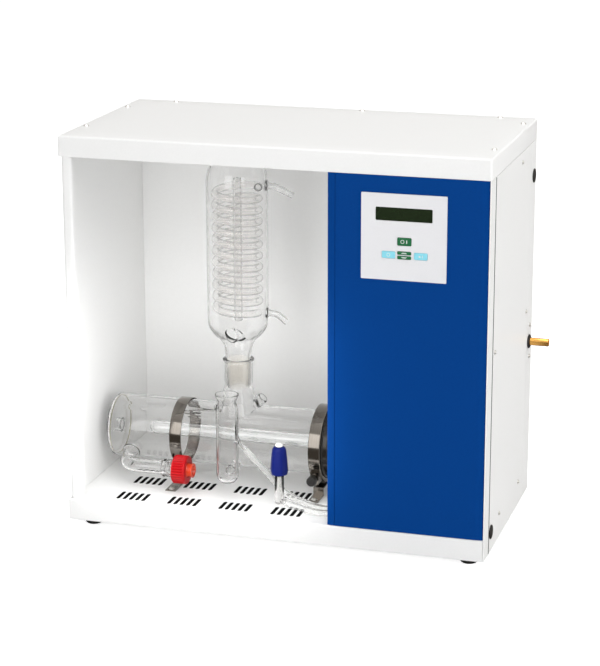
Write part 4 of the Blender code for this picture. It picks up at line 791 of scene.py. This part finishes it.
PORT_WAY = np.array([-0.36, -0.93, 0]) / sqrt(0.36**2 + 0.93**2)
PORT_END = np.array([178, 80, 218.3])
PORT_FOOT = PORT_END - PORT_WAY * 22
side_port_skin = softened([(0, 22), (8.9, 22), (9.6, 21), (9.2, 19), (9.2, 0), (0, 0)], 0.7)
condenser_skin.append(solid(turned(side_port_skin, PORT_FOOT, PORT_WAY, 48)))
condenser_space.append(solid(turned([(0, 26), (8.3, 26), (8.3, -2), (0, -2)], PORT_FOOT, PORT_WAY, 48)))
jacket_mesh = fused(condenser_skin, condenser_space)
show("condenser_jacket_tube", jacket_mesh, [glass, ground_glass],
     "condenser_jacket", 50)
grind(jacket_mesh, 147.5, 178.5, 15.2, CONDENSER_X, AXIS_Y)

COIL_R, COIL_TUBE, COIL_BORE, COIL_TURNS, COIL_TOP, COIL_FOOT = 25.6, 4.6, 3.5, 11, 389.0, 239.0
# Lime from the water leaves a faint film that roughens the coil, and the stopcock's barrel too.
limed_glass = finish("limed_borosilicate_glass", "#FFFFFF", "#FFFEFD", 8.0, (0.02, 0.05), 0.02, (1, 1, 0.3),
                     Transmission_Weight=1.0, IOR=1.44)
coil_turn = np.linspace(0, 2 * pi * COIL_TURNS, 72 * COIL_TURNS + 1)
coil_radial = np.column_stack([np.cos(coil_turn), np.sin(coil_turn), np.zeros_like(coil_turn)])
coil_line = (CONDENSER_X, AXIS_Y, COIL_TOP) + COIL_R * coil_radial
coil_line[:, 2] -= (COIL_TOP - COIL_FOOT) * coil_turn / coil_turn[-1]
show("condenser_coil_tube", solid(pipe(coil_line, COIL_TUBE, COIL_BORE, coil_radial, 24, 0.5), True),
     limed_glass, "condenser_coil")
riser_line = np.column_stack([np.full(60, CONDENSER_X + 0.6), np.full(60, AXIS_Y), np.linspace(228, 398, 60)])
show("condenser_riser_tube", solid(pipe(riser_line, 4.7, 3.4, (1, 0, 0), 32, 0.5), True), glass,
     "condenser_riser")

# ------------------------------------------------------------------ strap and flange clamp
# Both bands are stainless strip rolled to a ring and polished.  The strap stands on a folded foot, screwed to
# the tray.  The clamp has folded lips over the two flanges and is closed by a black knurled screw.
polished_band = finish("polished_stainless_strip", "#908B85", "#77716A", 0.7, (0.10, 0.18), 0.002,
                       (1, 0.02, 0.02), Metallic=1.0, Anisotropic=0.35)
STRAP_X, STRAP_W, STRAP_R = 99.8, 14.6, 38.7
strap_wall = softened([(STRAP_R + 1, STRAP_W), (STRAP_R + 1, 0), (STRAP_R, 0), (STRAP_R, STRAP_W)], 0.35,
                      True, 3)
strap_ring = solid(turned(strap_wall, (STRAP_X, AXIS_Y, AXIS_Z), (1, 0, 0), 144), True)


def strip(line, width, low):
    """A folded strip: its outline in the yz plane, carried along x from low by its width."""
    loop = folded(line, 1.0)
    return np.array([np.column_stack([np.full(len(loop), x), loop]) for x in (low, low + width)])


strap_foot = solid(strip(softened([(56.5, 26.8), (100, 26.8), (108, 34), (112, 46.6)], 4), 12.6, 100.8),
                   caps=True)
show("boiler_strap_band",
     fused([strap_ring, strap_foot],
           [solid(turned([(0, 6), (1.9, 6), (1.9, -4), (0, -4)], (107.1, 62, 26), (0, 0, 1), 24))]),
     polished_band, "boiler_strap")

CLAMP_X, CLAMP_W, CLAMP_R = 273.9, 14.3, 46.0
CLAMP_SCREW = (281.05, 73, 54.2)
clamp_wall = softened([(CLAMP_R, CLAMP_W), (CLAMP_R, 0), (40.6, 0), (40.6, 1.2), (CLAMP_R - 1.4, 3.2),
                       (CLAMP_R - 1.4, CLAMP_W - 3.2), (42, CLAMP_W - 1.2), (42, CLAMP_W)], 0.9, True, 5)
clamp_ring = solid(turned(clamp_wall, (CLAMP_X, AXIS_Y, AXIS_Z), (1, 0, 0), 144), True)
clamp_lug = solid(block((CLAMP_X + 2, 73, 47), (CLAMP_X + CLAMP_W - 2, 88, 61)), caps=True)
show("flange_clamp_band",
     fused([clamp_ring, clamp_lug],
           [solid(turned([(0, 12), (2.8, 12), (2.8, -6), (0, -6)], CLAMP_SCREW, (0, 1, 0), 24))]),
     polished_band, "flange_clamp")
repaint(polished_band, "clamp_foot", "clamp_washer")
repaint(screw_steel, "floor_screw_left", "floor_screw_right")


def knurled(turn, height):
    """Sixteen scallops round the head: the radius dips a twentieth on a raised cosine, not on the neck."""
    return 1 - 0.05 * (0.5 - 0.5 * np.cos(16 * turn)) * np.clip((height - 7) / 1.5, 0, 1)


knob_outline = np.vstack([(0, 15.2), (1.7, 15.2), (1.9, 15.6), (3.4, 15.9),
                          arc((3.6, 13.6), 2.3, 85, 0, 6), (5.9, 7.6), (5.4, 7), (3.7, 6.2), (3.5, 5.8),
                          (3.5, 1.9), (2.4, 1.9), (2.4, -8.5), (0, -8.5)])
show("clamp_knob_screw", solid(turned(knob_outline, CLAMP_SCREW, (0, -1, 0), 96, knurled)),
     black_moulding, "clamp_screw", body="clamp_thumbscrew")

# ------------------------------------------------------------------ stopcock
# A glass barrel with a white fluoroplastic spindle.  The blue polypropylene knob is six-sided with soft
# edges, and the spindle's white tip shows above it.
barrel_wall = np.vstack([(0, 2.2), (3.5, 2.2), (3.9, 2.8), (3.9, 54.6), (4.3, 55), (5.1, 55), (5.5, 54.6),
                         (5.5, 1.8), (4.4, 0.2), (0, 0)])
elbow_skin = softened([(0, 9.4), (2.8, 9.4), (2.8, 6), (3.9, 4.2), (0, 4.2)], 0.6)
elbow_parts = [solid(turned(barrel_wall, (*COCK, 27), (0, 0, 1), 48)),
               solid(turned(elbow_skin, ELBOW, ELBOW_WAY, 28))]
elbow_bore = [solid(turned([(0, 12), (1.6, 12), (1.6, 0), (0, 0)], ELBOW, ELBOW_WAY, 24))]
show("stopcock_barrel_tube", fused(elbow_parts, elbow_bore), limed_glass,
     "stopcock_barrel", 50)
blue_knob = finish("blue_polypropylene", "#091A66", "#061252", 1.2, (0.30, 0.42), 0.02,
                   Specular_IOR_Level=0.15)
KNOB_Z = 62.9


def six_sided(turn, height):
    """A soft hexagon: the radius swells by two hundredths at six corners, and not at the knob's top."""
    return 1 + 0.022 * np.cos(6 * turn) * np.clip((32 - height) / 6, 0, 1)


knob_wall = softened([(3.4, 34.2), (6.0, 34.0), (8.2, 31), (9.4, 20), (10.4, 4.5), (9.4, 0.3), (8.6, 0),
                      (6.1, 0), (6.1, 21), (3.4, 22)], 2.0, True, 6)
show("stopcock_blue_knob", solid(turned(knob_wall, (*COCK, KNOB_Z), (0, 0, 1), 96, six_sided), True),
     blue_knob, "stopcock_knob", body="cock_knob")
spindle_outline = np.vstack([(0, 38.2), (3.0, 38.2), (3.6, 37.9), arc((2.4, 35.8), 2.0, 60, 0, 4),
                             (4.4, 34.6), (2.7, 34.4), (2.7, -12), (0.6, -18), (0, -18)])
show("stopcock_ptfe_spindle", solid(turned(spindle_outline, (*COCK, KNOB_Z), (0, 0, 1), 40)),
     ptfe, "stopcock_spindle", body="cock_knob")
ring_section = arc((3.3, 0.6), 0.34, 0, 330, 11)
show("stopcock_seal_ring", solid(turned(ring_section, (*COCK, 60), (0, 0, 1), 40), True),
     black_rubber, "stopcock_o_ring", body="cock_ring")
